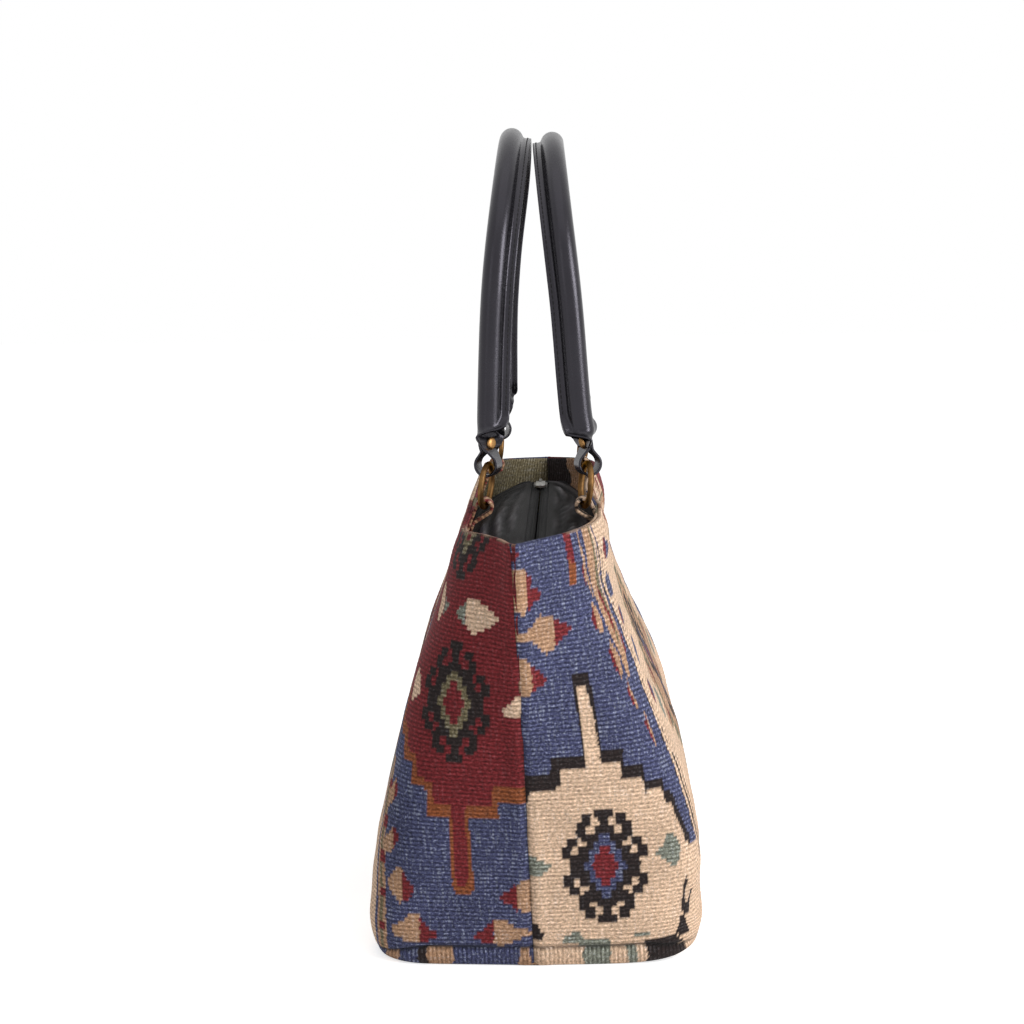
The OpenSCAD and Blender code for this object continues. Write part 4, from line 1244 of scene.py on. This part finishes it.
    def cord(self):
        """The cord inside the roll, from one leg's foot over the top to the other's."""
        radius, centre, low = mm("handle_half_span"), mm("handle_rise") - mm("handle_half_span"), 34.5
        leg, thick = centre - low, mm("cord_radius")
        around = np.linspace(0, 2 * math.pi, 17)[:-1]
        runs = np.linspace(0, 2 * leg + math.pi * radius, 121)
        points = [self.on_path(at, leg, radius, centre, low, thick * math.cos(a), thick * math.sin(a))
                  for at in runs for a in around]
        return np.array(points), tube_faces(0, len(runs), len(around))

    def on_path(self, at, leg, radius, centre, low, off, b):
        """A place beside the roll's centre line at a run from the right leg's foot."""
        if at < leg:
            return (radius + off, b, low + at)
        if at > leg + math.pi * radius:
            return (-radius - off, b, centre - (at - leg - math.pi * radius))
        turn = (at - leg) / radius
        return ((radius + off) * math.cos(turn), b, centre + (radius + off) * math.sin(turn))

    def rivets(self, side):
        """Domed caps on both faces of each tongue, joined by their shanks."""
        cap = [(3.95, 1.75), (3.8, 2.2), (3.1, 2.85), (1.9, 3.25), (0.05, 3.35)]
        shank = [(1.5, -1.7), (1.5, 1.7)]
        profile = [(radius, -y) for radius, y in cap[::-1]] + shank + cap
        around = np.linspace(0, 2 * math.pi, 25)[:-1]
        points, faces = [], []
        for leg in (1, -1):
            faces += tube_faces(len(points), len(profile), len(around))
            for radius, y in profile:
                ring = [(radius * math.cos(a), y, self.rivet_up + radius * math.sin(a)) for a in around]
                points += (self.turned(np.array(ring), side) * [leg, 1, 1]).tolist()
        return np.array(points), faces


class TOTE_OT_stage(bpy.types.Operator):
    """Pale floor, soft lamps and the camera"""
    bl_idname = "tote.stage"
    bl_label = "Stage"
    camera_at = (-1.2457905, -0.0229034, 0.4568388)
    yaw, pitch, roll = 0.03203, 0.15565, -0.01582
    floor_half, floor_drop = 6, 0.0005
    # each lamp's place, target and size, with its power's name
    lamps = {"overhead_lamp": ((-0.5, 0.0, 1.9), (0.0, 0.0, 0.2), (1.6, 1.6), "key"),
             "left_lamp": ((-1.5, 1.1, 0.9), (0.0, 0.0, 0.25), (0.45, 1.2), "left"),
             "right_lamp": ((-1.05, -1.75, 0.95), (0.0, 0.0, 0.25), (0.8, 1.4), "right")}

    def execute(self, context):
        stage = context.scene.tote_stage
        scene = context.scene
        scene.view_settings.view_transform = "Standard"
        self.floor(stage)
        self.sky(scene, stage)
        for name, (place, target, size, power) in self.lamps.items():
            self.lamp(name, place, target, size, getattr(stage, power))
        self.camera(scene, stage)
        return {"FINISHED"}

    def floor(self, stage):
        made, tree, shader = finish("studio_floor", Roughness=0.95, Specular_IOR_Level=0.0)
        shader.inputs["Base Color"].default_value = rgba(stage.floor)
        shader.inputs["Emission Color"].default_value = (1, 1, 1, 1)
        feed(tree, shader.inputs["Emission Strength"], calc(tree, "MULTIPLY", self.seen(tree), stage.glow))
        mesh = bpy.data.meshes.new("studio_floor")
        corners = box(-self.floor_half, -self.floor_half, self.floor_half, self.floor_half)
        mesh.from_pydata([(x, y, -self.floor_drop) for x, y in corners], [], [(0, 1, 2, 3)])
        mesh.materials.append(made)
        plane = bpy.data.objects.new("studio_floor", mesh)
        bpy.context.scene.collection.objects.link(plane)

    def seen(self, tree):
        """1 for rays that show the background to the camera, straight or in a reflection."""
        path = add(tree, "ShaderNodeLightPath")
        return calc(tree, "MAXIMUM", path.outputs["Is Camera Ray"],
                    calc(tree, "MAXIMUM", path.outputs["Is Glossy Ray"], path.outputs["Is Transmission Ray"]))

    def sky(self, scene, stage):
        world = bpy.data.worlds.new("studio")
        world.use_nodes = True
        tree = world.node_tree
        shader = tree.nodes["Background"]
        shader.inputs["Color"].default_value = (1, 1, 1, 1)
        feed(tree, shader.inputs["Strength"], ramp(tree, self.seen(tree), stage.sky, 1.0))
        scene.world = world

    def lamp(self, name, place, target, size, power):
        light = bpy.data.lights.new(name, "AREA")
        light.shape, light.energy = "RECTANGLE", power
        light.size, light.size_y = size
        made = bpy.data.objects.new(name, light)
        made.location = place
        made.rotation_euler = (Vector(target) - Vector(place)).to_track_quat("-Z", "Y").to_euler()
        bpy.context.scene.collection.objects.link(made)

    def camera(self, scene, stage):
        lens = bpy.data.cameras.new("photo_camera")
        lens.sensor_width, lens.lens, lens.clip_end = 36, stage.lens, 20
        level = math.cos(self.pitch)
        forward = Vector((math.cos(self.yaw) * level, math.sin(self.yaw) * level, -math.sin(self.pitch)))
        right = forward.cross(Vector((0, 0, 1))).normalized()
        up = right.cross(forward)
        across = right * math.cos(self.roll) + up * math.sin(self.roll)
        above = up * math.cos(self.roll) - right * math.sin(self.roll)
        turn = Matrix((across, above, -forward)).transposed().to_4x4()
        made = bpy.data.objects.new("photo_camera", lens)
        made.matrix_world = Matrix.Translation(self.camera_at) @ turn
        scene.collection.objects.link(made)
        scene.camera = made


class TOTE_PT_sidebar(bpy.types.Panel):
    """Lists the tote's pieces and settings"""
    bl_idname = "TOTE_PT_sidebar"
    bl_label = "Kilim Tote"
    bl_space_type = "VIEW_3D"
    bl_region_type = "UI"
    bl_category = "Kilim Tote"

    def draw(self, context):
        for operator in PIECES:
            self.layout.operator(operator.bl_idname)
        for group in (context.scene.tote_sizes, context.scene.tote_colours, context.scene.tote_stage):
            column = self.layout.column(align=True)
            for key in group.__annotations__:
                column.prop(group, key)


PIECES = (TOTE_OT_panels, TOTE_OT_facings, TOTE_OT_linings, TOTE_OT_closure, TOTE_OT_zip, TOTE_OT_rings,
          TOTE_OT_handles, TOTE_OT_stage)
GROUPS = {"tote_sizes": ToteSizes, "tote_colours": ToteColours, "tote_stage": ToteStage}


def register():
    for made in (*GROUPS.values(), *PIECES, TOTE_PT_sidebar):
        bpy.utils.register_class(made)
    for key, group in GROUPS.items():
        setattr(bpy.types.Scene, key, PointerProperty(type=group))


def unregister():
    for key in GROUPS:
        delattr(bpy.types.Scene, key)
    for made in (TOTE_PT_sidebar, *reversed(PIECES), *reversed(tuple(GROUPS.values()))):
        bpy.utils.unregister_class(made)


def main():
    register()
    for operator in PIECES:
        group, name = operator.bl_idname.split(".")
        getattr(getattr(bpy.ops, group), name)()


if __name__ == "__main__":
    main()
